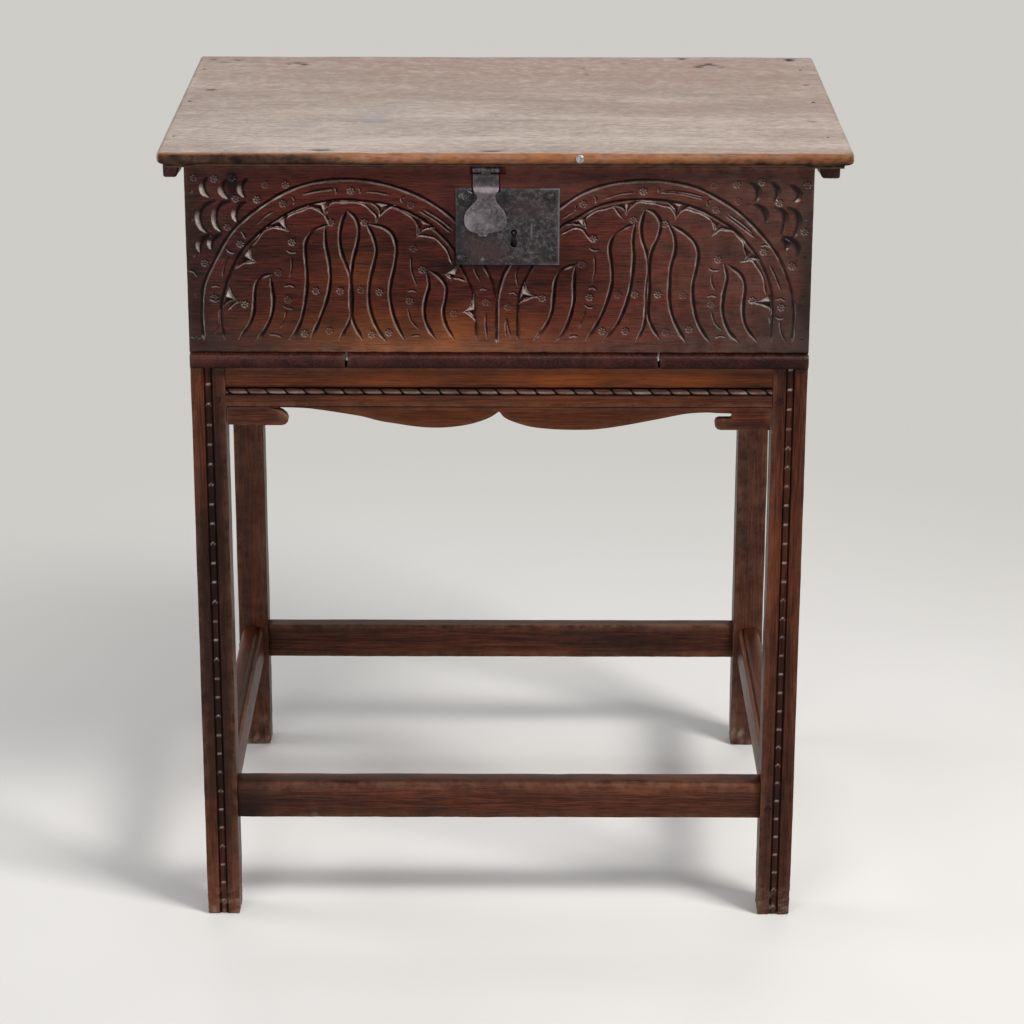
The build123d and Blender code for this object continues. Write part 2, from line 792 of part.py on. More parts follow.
def lid_board():
    board = block((lid_left, lid_right), (-lid_front_overhang, lid_back), (lid_base, lid_top))
    corners = board.edges().filter_by(Axis.Z).group_by(Axis.Y)[0]
    board = fillet(corners, lid_corner)
    under = board.faces().sort_by(Axis.Z)[0]
    rim = [edge for edge in under.edges() if edge.center().Y < lid_back - 0.1]
    board = chamfer(rim, lid_bevel_up, lid_bevel_in, reference=under)
    over = board.faces().sort_by(Axis.Z)[-1]
    rim = [edge for edge in over.edges() if edge.center().Y < lid_back - 0.1]
    board = fillet(rim, lid_round)
    for driven in cleat_nails() + leaf_nails():
        board -= driven
    return board - lid_stud()


def cleat(near, far):
    """A cleat under one end of the lid, from its inner face at near to its outer face at far."""
    side = 1 if far > near else -1
    low = lid_base - cleat_height
    front_low = lid_base - cleat_front_height
    front = cleat_front_inset
    back = lid_back - cleat_back_inset
    profile = Polyline(
        (front, lid_base), (back, lid_base), (back, low), (front + cleat_front_rise, low),
        (front, front_low), close=True,
    )
    body = extrude(sideways(near) * make_face(profile), far - near)
    slope = Polyline(
        (near, lid_base), (near, low - 1), (near + side * cleat_taper, low - 1), close=True,
    )
    body -= extrude(upright(front - 1) * make_face(slope), -(back - front + 2))
    return fillet(body.edges().filter_by(Axis.X).group_by(Axis.Z)[0], cleat_round)


def cleats():
    left = cleat(-half_width - cleat_gap, -half_width - cleat_gap - cleat_left_width)
    right = cleat(half_width + cleat_gap, half_width + cleat_gap + cleat_right_width)
    left -= left_hinge_pin(hinge_pin_radius + running_gap, 0)
    right -= right_hinge_pin(hinge_pin_radius + running_gap, 0)
    for driven in cleat_nails():
        left -= driven
        right -= driven
    return left, right


def knuckle(x):
    return bar_x(barrel_radius, x, barrel_y, barrel_z)


def leaf():
    """The leaf nailed under the lid, rolled into the hinge's two outer knuckles."""
    half = strap_width / 2
    x = (hasp_centre - half, hasp_centre + half)
    body = block(x, (barrel_y, barrel_y + leaf_length), (lid_base - iron_thickness, lid_base))
    inner = knuckle_length / 2 + knuckle_gap
    clear = block((hasp_centre - inner, hasp_centre + inner),
                  (-lid_front_overhang, barrel_y + barrel_radius + knuckle_gap * 2), (0, lid_top))
    body -= clear
    body += knuckle((x[0], hasp_centre - inner))
    body += knuckle((hasp_centre + inner, x[1]))
    body -= bar_x(barrel_pin_radius, (x[0] - 1, x[1] + 1), barrel_y, barrel_z)
    for driven in leaf_nails():
        body -= driven
    return body


def hasp_pin():
    half = strap_width / 2 + pin_proud
    return bar_x(barrel_pin_radius, (hasp_centre - half, hasp_centre + half), barrel_y, barrel_z)


# ---- Hasp ----

def joggle_z(below):
    """Height at some distance below the top of the hasp's joggle."""
    return barrel_z - joggle_top - below


def hasp_side(side):
    """One side of the hasp's outline, -1 for the left: strap, neck, rounded pad and finger tab."""
    x = hasp_centre
    strap = side * strap_width / 2
    neck = side * neck_width / 2
    pad = side * pad_width / 2
    tab = side * tab_width / 2
    neck_top = joggle_z(joggle_height)
    neck_z = neck_top - neck_drop
    pad_z = barrel_z - pad_drop
    low = pad_z - pad_height / 2
    places = [
        (x + neck, neck_z),
        (x + pad * pad_shoulder[0], pad_z + pad_height * pad_shoulder[1]),
        (x + pad, pad_z),
        (x + pad * pad_foot[0], pad_z - pad_height * pad_foot[1]),
        (x + tab, low),
    ]
    return [
        Line((x + strap, barrel_z), (x + strap, neck_top)),
        Line((x + strap, neck_top), places[0]),
        Spline(places, tangents=[(0, -1), (-side, pad_end_slope)]),
        Line(places[-1], (x + tab, low - tab_height)),
    ]


def hasp_outline():
    strap = strap_width / 2
    tab = tab_width / 2
    low = barrel_z - pad_drop - pad_height / 2 - tab_height
    top_line = Line((hasp_centre - strap, barrel_z), (hasp_centre + strap, barrel_z))
    low_line = Line((hasp_centre - tab, low), (hasp_centre + tab, low))
    return outline_face(hasp_side(-1) + hasp_side(1) + [top_line, low_line])


def hasp_bend():
    """Side view of the hasp's iron, from the barrel down over the joggle to the pad."""
    back = strap_sink
    front = back - iron_thickness
    pad_back = -plate_thickness - pad_gap
    pad_front = pad_back - iron_thickness
    low = barrel_z - pad_drop - pad_height
    return Polyline(
        (back, barrel_z), (back, joggle_z(0)), (pad_back, joggle_z(joggle_height)), (pad_back, low),
        (pad_front, low), (pad_front, joggle_z(joggle_height) + joggle_lift),
        (front, joggle_z(0) + joggle_lift), (front, barrel_z), close=True,
    )


def hasp():
    outline = extrude(upright(-barrel_radius * 4) * hasp_outline(), -barrel_radius * 8)
    bent = extrude(sideways(hasp_centre - pad_width) * make_face(hasp_bend()), 2 * pad_width)
    body = outline & bent
    half = strap_width / 2 + 1
    middle = knuckle_length / 2
    inner = middle + knuckle_gap
    room = barrel_radius + knuckle_gap * 2
    for x in ((hasp_centre - half, hasp_centre - middle), (hasp_centre + middle, hasp_centre + half)):
        body -= block(x, (barrel_y - room, barrel_y + room), (barrel_z - room, barrel_z + 1))
    body += knuckle((hasp_centre - middle, hasp_centre + middle))
    bore_x = (hasp_centre - inner, hasp_centre + inner)
    return body - bar_x(barrel_pin_radius + running_gap, bore_x, barrel_y, barrel_z)


def staple():
    """The eye riveted behind the hasp's pad, through which the bolt passes."""
    half = staple_width / 2
    start = -plate_thickness - pad_gap
    z = (staple_z - staple_height / 2, staple_z + staple_height / 2)
    body = block((hasp_centre - half, hasp_centre + half), (start, start + staple_reach), z)
    body = chamfer(body.faces().sort_by(Axis.Y)[-1].edges().filter_by(Axis.X), staple_nose)
    eye_front = start + staple_reach - eye_back
    eye = block((hasp_centre - half - 1, hasp_centre + half + 1), (bolt_front - eye_front_gap, eye_front),
                (staple_z - eye_height / 2, staple_z + eye_height / 2))
    return body - eye


if __name__ == "__main__":
    save("leg_front_left", face_leg())
    save("leg_front_right", opposite_side(face_leg()))
    save("leg_rear_left", opposite_end(plain_leg()))
    save("leg_rear_right", opposite_side(opposite_end(plain_leg())))
    save("rail_front", front_rail())
    save("rail_rear", rear_rail())
    save("rail_left", side_rail())
    save("rail_right", opposite_side(side_rail()))
    save("stretcher_front", front_stretcher())
    save("stretcher_rear", opposite_end(front_stretcher()))
    save("stretcher_left", side_stretcher())
    save("stretcher_right", opposite_side(side_stretcher()))
    save("pegs_front", group(face_pegs()))
    save("pegs_rear", group(opposite_end(peg) for peg in face_pegs()))
    save("pegs_left", group(left_pegs()))
    save("pegs_right", group(opposite_side(peg) for peg in left_pegs()))
    save("apron", apron())
    save("apron_nails", group(apron_nails()))

    for name, span in zip(("left", "middle", "right"), floor_spans()):
        save(f"bottom_board_{name}", floor_board(span))
    save("front_board", front_board())
    save("side_board_left", side_board())
    save("side_board_right", opposite_side(side_board()))
    save("back_board", back_board())
    save("bottom_nails", group(floor_nails()))
    save("front_nails", group(face_nails()))
    save("back_nails", group(back_nails()))
    save("hinge_pin_left", left_hinge_pin(hinge_pin_radius, hinge_pin_grip))
    save("hinge_pin_right", right_hinge_pin(hinge_pin_radius, hinge_pin_grip))

    save("lock_plate", lock_plate())
    save("lock_plate_nails", group(plate_nails()))
    save("lock_guides", group([guide(guide_first), guide(guide_second)]))
    save("lock_cap", cap())
    save("lock_spring", spring())
    save("lock_bolt", bolt())

    left_cleat, right_cleat = cleats()
    save("lid_board", lid_board())
    save("cleat_left", left_cleat)
    save("cleat_right", right_cleat)
    save("cleat_nails", group(cleat_nails()))
    save("lid_stud", lid_stud())
    save("hasp_leaf", leaf())
    save("hasp_leaf_nails", group(leaf_nails()))
    save("hasp_pin", hasp_pin())
    save("hasp", hasp())
    save("hasp_staple", staple())
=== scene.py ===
import bpy
import math
import numpy as np
from mathutils import Matrix, Vector
from mathutils.geometry import delaunay_2d_cdt


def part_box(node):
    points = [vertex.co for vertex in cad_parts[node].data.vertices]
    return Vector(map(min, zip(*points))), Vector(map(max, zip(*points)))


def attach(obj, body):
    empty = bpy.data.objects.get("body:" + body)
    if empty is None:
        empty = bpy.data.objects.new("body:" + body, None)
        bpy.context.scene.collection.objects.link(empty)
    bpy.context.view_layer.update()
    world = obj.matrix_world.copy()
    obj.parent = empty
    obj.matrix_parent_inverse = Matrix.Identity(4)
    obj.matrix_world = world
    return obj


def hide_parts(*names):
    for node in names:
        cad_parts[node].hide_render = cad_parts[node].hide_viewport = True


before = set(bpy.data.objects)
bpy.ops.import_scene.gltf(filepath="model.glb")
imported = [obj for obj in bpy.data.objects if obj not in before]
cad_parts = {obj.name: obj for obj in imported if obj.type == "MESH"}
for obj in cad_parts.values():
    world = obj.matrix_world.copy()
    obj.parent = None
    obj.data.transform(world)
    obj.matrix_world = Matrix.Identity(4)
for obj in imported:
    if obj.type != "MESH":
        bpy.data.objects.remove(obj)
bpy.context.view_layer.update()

# Everything below is drawn in millimetres about the stand, as a joiner would set it out: X to the
# right from the stand's centre line, Y back from the faces of the front legs, Z up from the floor.
# to_row() turns that into the frame's metres.
MM = 0.001
left_leg_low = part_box("leg_front_left")[0]
right_leg_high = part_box("leg_front_right")[1]
CENTRE = np.array([(left_leg_low.x + right_leg_high.x) / 2, left_leg_low.y, 0.0])
QUARTER = math.pi / 2


def to_row(points):
    """Points in millimetres about the stand, in the frame's metres."""
    return np.asarray(points, float) * MM + CENTRE


def span(node):
    """Lowest and highest corner of a CAD node, in millimetres about the stand."""
    low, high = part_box(node)
    return (np.array(low) - CENTRE) / MM, (np.array(high) - CENTRE) / MM


def add_object(name, data):
    """A new object, at the world's origin."""
    made = bpy.data.objects.new(name, data)
    bpy.context.scene.collection.objects.link(made)
    return made


# ---------------------------------------------------------------- small numeric tools

def wobble(points, scale, seed, octaves=3):
    """Smooth random field between about -1 and 1; scale is the size of its waves."""
    rng = np.random.default_rng(seed)
    points = np.asarray(points, float)
    total = np.zeros(len(points))
    weight = 0.0
    for octave in range(octaves):
        share = 0.55 ** octave
        for _ in range(4):
            turn = rng.normal(size=3)
            turn /= np.linalg.norm(turn)
            turn *= 2 * math.pi / np.asarray(scale, float) * (1.9 ** octave)
            total += share * np.sin(points @ turn + rng.uniform(0, 2 * math.pi))
        weight += share * 2.0
    return total / weight


def uneven(points, seed, *waves):
    """Depth of a surface that is not quite flat, from the depth and size of each set of waves."""
    return sum(deep * (1 + wobble(points, size, seed + i)) for i, (deep, size) in enumerate(waves))


def smooth_step(value, low, high):
    """From 0 at low to 1 at high, smoothly; low may be the greater of the two."""
    t = np.clip((value - low) / (high - low), 0, 1)
    return t * t * (3 - 2 * t)


def spline(points, step=1.0):
    """Catmull-Rom curve through points, sampled about every step."""
    points = np.asarray(points, float)
    ends = np.vstack([2 * points[0] - points[1], points, 2 * points[-1] - points[-2]])
    line = []
    for a, b, c, d in zip(ends, ends[1:], ends[2:], ends[3:]):
        count = max(2, int(np.linalg.norm(c - b) / step) + 1)
        t = np.linspace(0, 1, count, endpoint=False)[:, None]
        line.append(0.5 * (2 * b + (c - a) * t + (2 * a - 5 * b + 4 * c - d) * t ** 2
                           + (3 * b - a - 3 * c + d) * t ** 3))
    return np.vstack(line + [points[-1:]])


def arc(centre, radii, start, end, count):
    """Points on an arc of an ellipse; a negative radius mirrors it."""
    return [(centre[0] + radii[0] * math.cos(a), centre[1] + radii[1] * math.sin(a))
            for a in np.linspace(start, end, count)]


def stains(across, up, spots):
    """Sum of soft oval patches, each (x, z, half width, half height, strength)."""
    return sum(strength * np.exp(-((across - x) / wide) ** 2 - ((up - z) / high) ** 2)
               for x, z, wide, high, strength in spots)


def bump_at(value, width):
    """A soft bump of a width where a value is 0."""
    return np.exp(-(value / width) ** 2)


def arris(points, low, high, reach):
    """1 on the outer edges of a box-shaped piece, falling off over reach."""
    gaps = np.sort(np.minimum(points - low, high - points), axis=1)
    return np.exp(-np.clip(gaps[:, 1], 0, None) / reach)


# ---------------------------------------------------------------- meshes

# The body that a piece rides on and its material slot.
STAND_WOOD = ("stand", "stand_oak")
BOX_WOOD = ("box", "box_oak")
LID_WOOD = ("lid", "lid_oak")


def dress(node, points, faces, part, material, flat=2, ending="_worn", **marks):
    """A piece in place of a CAD node, its last faces flat, with marks on its points for the material."""
    name = node + ending
    mesh = bpy.data.meshes.new(name)
    mesh.from_pydata(to_row(points).tolist(), [], faces)
    mesh.polygons.foreach_set("use_smooth", np.arange(len(faces)) < len(faces) - flat)
    for mark, values in marks.items():
        padded = np.zeros(len(points), np.float32)
        padded[:np.size(values)] = np.clip(values, 0, 1).ravel()
        mesh.attributes.new(mark, "FLOAT", "POINT").data.foreach_set("value", padded)
    mesh.validate()
    mesh.materials.append(material)
    piece = add_object(name, mesh)
    body, slot = part
    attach(piece, body)
    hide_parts(node)


def push_in(points, faces, amount):
    """Moves points inwards along their normals, so that the piece stays inside its box."""
    mesh = bpy.data.meshes.new("scratch")
    mesh.from_pydata(points.tolist(), [], faces)
    normals = np.zeros(len(points) * 3, np.float32)
    mesh.vertices.foreach_get("normal", normals)
    bpy.data.meshes.remove(mesh)
    return points - normals.reshape(-1, 3) * amount[:, None]


def facing_out(points, faces):
    """Turns the faces over if the closed piece is inside out."""
    middle = points.mean(0)
    volume = 0.0
    for face in faces[:: max(1, len(faces) // 4000)]:
        a = points[face[0]]
        for b, c in zip(face[1:], face[2:]):
            volume += np.dot(a - middle, np.cross(points[b] - a, points[c] - a))
    return faces if volume > 0 else [face[::-1] for face in faces]


def ring_faces(rings, size):
    """Quads between successive rings of equal size."""
    i = np.arange((rings - 1) * size)
    j = i - i % size + (i + 1) % size
    return np.stack([i, j, j + size, i + size], 1).tolist()


def tower(rings):
    """A closed piece from rings of equal size, with a flat face at each end."""
    count = len(rings[0])
    points = np.vstack(rings)
    faces = ring_faces(len(rings), count)
    faces += [list(range(count))[::-1], list(range(len(points) - count, len(points)))]
    return points, facing_out(points, faces)


def sweep_mesh(section, places, axis, end_round):
    """A closed section of (across, up) points carried along an axis, with softened ends."""
    section = np.asarray(section, float)
    low, high = section.min(0), section.max(0)
    others = [i for i in range(3) if i != axis]
    softening = [(0.0, 1.0), (end_round * 0.3, 0.35), (end_round, 0.0)]
    steps = [(places[0] + back, shrink) for back, shrink in softening]
    steps += [(place, 0.0) for place in places[1:-1]]
    steps += [(places[-1] - back, shrink) for back, shrink in reversed(softening)]
    rings = []
    for place, shrink in steps:
        ring = np.full((len(section), 3), float(place))
        centre = (low + high) / 2
        ring[:, others] = centre + (section - centre) * (1 - shrink * end_round * 2 / (high - low))
        rings.append(ring)
    return tower(rings)


def rounded_rect(low, high, radii, step=7.0):
    """Section outline with a radius at each corner, counter-clockwise from the lower left."""
    (x0, y0), (x1, y1) = low, high
    arcs = []
    corners = ((x0, y0, 1, 1), (x1, y0, -1, 1), (x1, y1, -1, -1), (x0, y1, 1, -1))
    for i, (x, y, right, up) in enumerate(corners):
        r, start = radii[i], (i + 2) * QUARTER
        arcs.append(arc((x + right * r, y + up * r), (r, r), start, start + QUARTER, 5 if r > 0.5 else 2))
    points = []
    for corner, after in zip(arcs, arcs[1:] + arcs[:1]):
        points += corner
        a, b = np.array(corner[-1]), np.array(after[0])
        count = int(np.linalg.norm(b - a) / step)
        points += [tuple(a + (b - a) * i / (count + 1)) for i in range(1, count + 1)]
    return points


def join_meshes(parts):
    """One mesh out of several."""
    points, faces, first = [], [], 0
    for some_points, some_faces in parts:
        points.append(some_points)
        faces += [[i + first for i in face] for face in some_faces]
        first += len(some_points)
    return np.vstack(points), faces


# ---------------------------------------------------------------- materials

class Nodes:
    """Short names for the nodes of a material or of the world."""

    def __init__(self, tree):
        self.tree = tree

    def add(self, kind, inputs=(), **settings):
        """A node with its settings and its inputs, each a value or the socket that feeds it."""
        node = self.tree.nodes.new(kind)
        for key, value in settings.items():
            setattr(node, key, value)
        for key, value in dict(inputs).items():
            self.feed(node.inputs[key], value)
        return node

    def feed(self, socket, value):
        if isinstance(value, bpy.types.NodeSocket):
            self.tree.links.new(value, socket)
        elif socket.type == "RGBA":
            socket.default_value = (*value[:3], 1.0)
        else:
            socket.default_value = value

    def maths(self, operation, a, b, clamp=False):
        return self.add("ShaderNodeMath", {0: a, 1: b}, operation=operation, use_clamp=clamp).outputs[0]

    def times(self, a, b):
        return self.maths("MULTIPLY", a, b)

    def plus(self, a, b):
        return self.maths("ADD", a, b)

    def place(self, scale, offset=(0, 0, 0)):
        coords = self.add("ShaderNodeTexCoord").outputs["Object"]
        values = {"Vector": coords, "Scale": scale, "Location": offset}
        return self.add("ShaderNodeMapping", values).outputs[0]

    def noise(self, scale, offset=(0, 0, 0), detail=3.0, rough=0.55, warp=0.0):
        values = {"Vector": self.place(scale, offset), "Scale": 1.0, "Detail": detail, "Roughness": rough,
                  "Distortion": warp}
        return self.add("ShaderNodeTexNoise", values).outputs["Fac"]

    def ramp(self, factor, *stops):
        node = self.add("ShaderNodeValToRGB", {0: factor})
        elements = node.color_ramp.elements
        while len(elements) < len(stops):
            elements.new(0.5)
        for element, (place, colour) in zip(elements, stops):
            element.position = place
            element.color = (*(colour if isinstance(colour, tuple) else (colour,) * 3), 1.0)
        return node.outputs[0]

    def mix(self, factor, a, b):
        return self.add("ShaderNodeMix", {0: factor, 6: a, 7: b}, data_type="RGBA").outputs[2]

    def mark(self, name):
        return self.add("ShaderNodeAttribute", attribute_name=name).outputs["Fac"]

    def broken_mark(self, name, pattern, *stops):
        """A mark on the mesh, broken up by a pattern."""
        return self.maths("MULTIPLY", self.mark(name), self.ramp(pattern, *stops), clamp=True)

    def bump(self, height, strength, distance, before=None):
        inputs = {"Strength": strength, "Distance": distance, "Height": height}
        if before is not None:
            inputs["Normal"] = before
        return self.add("ShaderNodeBump", inputs).outputs[0]

    def seen_directly(self):
        """1 for rays that show the backdrop to the camera, straight or by a mirror or glass."""
        path = self.add("ShaderNodeLightPath").outputs
        either = self.maths("MAXIMUM", path["Is Camera Ray"], path["Is Glossy Ray"])
        return self.maths("MAXIMUM", either, path["Is Transmission Ray"])

    def show(self, factor, shader, other, out):
        """Shows one shader, and another where the factor is 1."""
        blend = self.add("ShaderNodeMixShader", {0: factor, 1: shader, 2: other})
        self.tree.links.new(blend.outputs[0], out.inputs["Surface"])


class Shading(Nodes):
    """A material with one shader."""

    def __init__(self, name):
        self.material = bpy.data.materials.new(name)
        self.material.use_nodes = True
        super().__init__(self.material.node_tree)
        self.tree.nodes.clear()
        self.out = self.add("ShaderNodeOutputMaterial")
        self.shader = self.add("ShaderNodeBsdfPrincipled")
        self.tree.links.new(self.shader.outputs[0], self.out.inputs["Surface"])

    def finish(self, **inputs):
        for key, value in inputs.items():
            self.feed(self.shader.inputs[key.replace("_", " ")], value)
        return self.material


def oak(name, axis, seed, dark, mid, light, worn, dirt_and_shade_colour, warm, bare, shine=0.40, pore=0.7, gloss=0.22,
        streak=1.0, length=22.0, fine=1.0, run=4.5, fleck=1300.0):
    """Old oak with its grain along an axis. worn, warm and the dirt and cut-wood colours tint the places
    marked on the mesh; the dirt colour also stands for painted shade and the cut-wood colour for painted
    highlights.
    """
    m = Shading(name)

    def noise(along, across, **look):
        """Noise stretched along the grain."""
        scale = [across] * 3
        scale[axis] = along
        return m.noise(scale, (seed * 1.7, seed * 0.9, seed * 2.3), **look)

    broad = noise(2.6, 11.0, rough=0.5, warp=0.8)
    bands = noise(run, 120.0, detail=4, rough=0.6, warp=0.5)
    fibre = noise(length, 560.0 * fine, detail=4, rough=0.65)
    pores = noise(60.0, fleck, detail=2, rough=0.6)
    mottle = noise(38.0, 38.0, detail=5, rough=0.62)
    scuffs = noise(70.0, 70.0, detail=5, rough=0.68)
    tone = m.plus(m.times(broad, 0.34), m.plus(m.times(bands, 0.18 * streak), m.times(fibre, 0.40)))
    tone = m.plus(tone, m.times(mottle, 0.26 - 0.18 * streak))
    colour = m.ramp(tone, (0.42, dark), (0.495, mid), (0.585, light))
    warmed = m.broken_mark("warm", m.times(m.plus(bands, fibre), 0.5), (0.38, 0.5), (0.55, 1.0))
    colour = m.mix(warmed, colour, warm)
    pore_mark = m.ramp(pores, (0.34, 1.0), (0.45, 0.0))
    colour = m.mix(m.times(pore_mark, pore), colour, m.mix(0.72, colour, tuple(c * 0.2 for c in dark)))
    # Tints by the marks: wear, dirt and cut wood. On some pieces the wear and cut marks also carry painted
    # highlights, and the dirt mark carries painted shade.
    edge = m.broken_mark("edge", scuffs, (0.36, 0.15), (0.60, 1.0))
    colour = m.mix(m.times(edge, 0.8), colour, worn)
    soil = m.broken_mark("soil", scuffs, (0.30, 0.75), (0.6, 1.0))
    colour = m.mix(soil, colour, dirt_and_shade_colour)
    colour = m.mix(m.broken_mark("cut", scuffs, (0.34, 0.45), (0.58, 1.0)), colour, bare)
    rough = m.plus(m.times(fibre, 0.16), m.plus(m.times(scuffs, 0.24), shine - 0.2))
    rough = m.maths("ADD", rough, m.times(soil, 0.15), clamp=True)
    normal = m.bump(pore_mark, 0.4, -0.0003, m.bump(fibre, 0.35, 0.0006))
    return m.finish(Base_Color=colour, Roughness=rough, Normal=m.bump(scuffs, 0.16, 0.0008, normal),
                    Specular_IOR_Level=m.times(gloss, m.maths("SUBTRACT", 1.0, m.times(soil, 0.75))))


def iron(name, seed, dark, mid, light, rust, rough_at):
    """Forged iron, pitted and dark, with paler rubbed specks."""
    m = Shading(name)
    offset = (seed * 0.31, seed * 0.77, seed * 1.13)
    cloud = m.noise((26.0,) * 3, offset, detail=4, rough=0.6)
    pits = m.noise((270.0,) * 3, offset, detail=5, rough=0.80)
    specks = m.noise((800.0,) * 3, offset, detail=2, rough=0.6)
    colour = m.ramp(pits, (0.40, dark), (0.51, mid), (0.64, light))
    colour = m.mix(m.ramp(cloud, (0.52, 0.0), (0.70, 0.6)), colour, rust)
    colour = m.mix(m.broken_mark("warm", pits, (0.35, 0.5), (0.6, 1.0)), colour, rust)
    colour = m.mix(m.ramp(specks, (0.66, 0.0), (0.78, 0.6)), colour, tuple(min(1, c * 2.2) for c in light))
    # Paler where marked, for rubbed iron and on the hasp for painted highlights; darker where marked, for
    # dirt and in places for painted shade.
    colour = m.mix(m.times(m.mark("edge"), 0.85), colour, tuple(min(1, c * 1.9) for c in light))
    colour = m.mix(m.mark("soil"), colour, tuple(c * 0.5 for c in dark))
    return m.finish(Base_Color=colour, Roughness=m.plus(m.times(pits, 0.3), rough_at - 0.15), Metallic=0.55,
                    Normal=m.bump(pits, 0.6, 0.0006, m.bump(cloud, 0.25, 0.002)))


# Palettes: the dirt colour is also used for painted shade, and on the stand and the box the pale cut-wood
# colour is also used for painted highlights.
STAND = dict(dark=(0.0110, 0.0030, 0.0018), mid=(0.036, 0.0082, 0.0036), light=(0.098, 0.0240, 0.0082),
             bare=(0.27, 0.22, 0.185), worn=(0.150, 0.066, 0.036), dirt_and_shade_colour=(0.0035, 0.0022, 0.002),
             warm=(0.150, 0.036, 0.0058))
BOX = dict(dark=(0.0080, 0.0020, 0.0016), mid=(0.037, 0.0066, 0.0046), light=(0.082, 0.0148, 0.0090),
           bare=(0.46, 0.385, 0.35), worn=(0.165, 0.088, 0.062), dirt_and_shade_colour=(0.0035, 0.0026, 0.0028),
           warm=(0.190, 0.055, 0.011))
DARK = dict(BOX, mid=(0.022, 0.0044, 0.0036), light=(0.050, 0.0110, 0.0075), worn=(0.110, 0.060, 0.048))
# The lid's pale grey-taupe is partly faded oak and partly a painted sheen: the light its top reflects is
# matched in these colours.
LID = dict(dark=(0.170, 0.119, 0.092), mid=(0.256, 0.193, 0.158), light=(0.372, 0.300, 0.255),
           bare=(0.15, 0.150, 0.16), worn=(0.190, 0.105, 0.070), dirt_and_shade_colour=(0.0085, 0.0050, 0.0040),
           warm=(0.235, 0.075, 0.017))

stand_oak = [oak(f"stand_oak_{axis}", i, 3 + i, gloss=0.11, **STAND) for i, axis in enumerate("xyz")]
box_oak = [oak(f"box_oak_{axis}", i, 11 + i, gloss=0.12, **BOX) for i, axis in enumerate("xyz")]
carved_oak = oak("carved_oak", 0, 17, shine=0.34, gloss=0.10, streak=0.8, length=40.0, run=11.0, **BOX)
dark_oak = oak("dark_oak", 1, 19, shine=0.24, pore=0.2, streak=1.2, gloss=0.15, **DARK)
lid_oak = oak("lid_oak", 0, 23, shine=0.48, pore=0.6, gloss=0.30, length=140.0, fine=0.6, run=15.0,
              fleck=420.0, **LID)
plate_iron = iron("plate_iron", 5, (0.005, 0.005, 0.006), (0.019, 0.017, 0.019), (0.098, 0.090, 0.100),
                  (0.036, 0.016, 0.015), 0.44)
hasp_iron = iron("hasp_iron", 9, (0.032, 0.026, 0.030), (0.070, 0.060, 0.067), (0.146, 0.129, 0.142),
                 (0.085, 0.056, 0.054), 0.44)
nail_iron = iron("nail_iron", 14, (0.005, 0.005, 0.005), (0.014, 0.012, 0.013), (0.050, 0.045, 0.048),
                 (0.022, 0.013, 0.012), 0.20)
stud_iron = iron("stud_iron", 21, (0.120, 0.112, 0.110), (0.260, 0.250, 0.250), (0.440, 0.430, 0.430),
                 (0.160, 0.120, 0.100), 0.4)


# ---------------------------------------------------------------- stand

leg_low, leg_high = span("leg_front_left")
LEG = leg_high[0] - leg_low[0]
INNER = -leg_high[0]       # X of the inner face of the right leg
REAR = span("leg_rear_left")[0][1]
BUTT = 0.4                 # how far a rail runs into the face of a leg


def leg_section(front):
    """Section of a leg about its outer front corner at (0, 0); a front one has a sunk strip in its face."""
    outline = rounded_rect((0, 0), (LEG, LEG), (1.6, 1.6, 2.0, 2.0), 6.0)
    if not front:
        return outline
    middle = LEG / 2
    half = [(5.4, 0.0), (4.6, 0.15), (4.1, 1.7), (3.6, 1.9), (3.1, 1.5), (2.6, 0.8), (1.6, 0.7), (0.6, 0.7)]
    kept = [(x, y) for x, y in outline if y > 0.01 or abs(x - middle) > 6.5]
    at = max(i for i, (x, y) in enumerate(kept) if y < 0.01 and x < middle) + 1
    return (kept[:at] + [(middle - x, y) for x, y in half] + [(middle + x, y) for x, y in reversed(half)]
            + kept[at:])


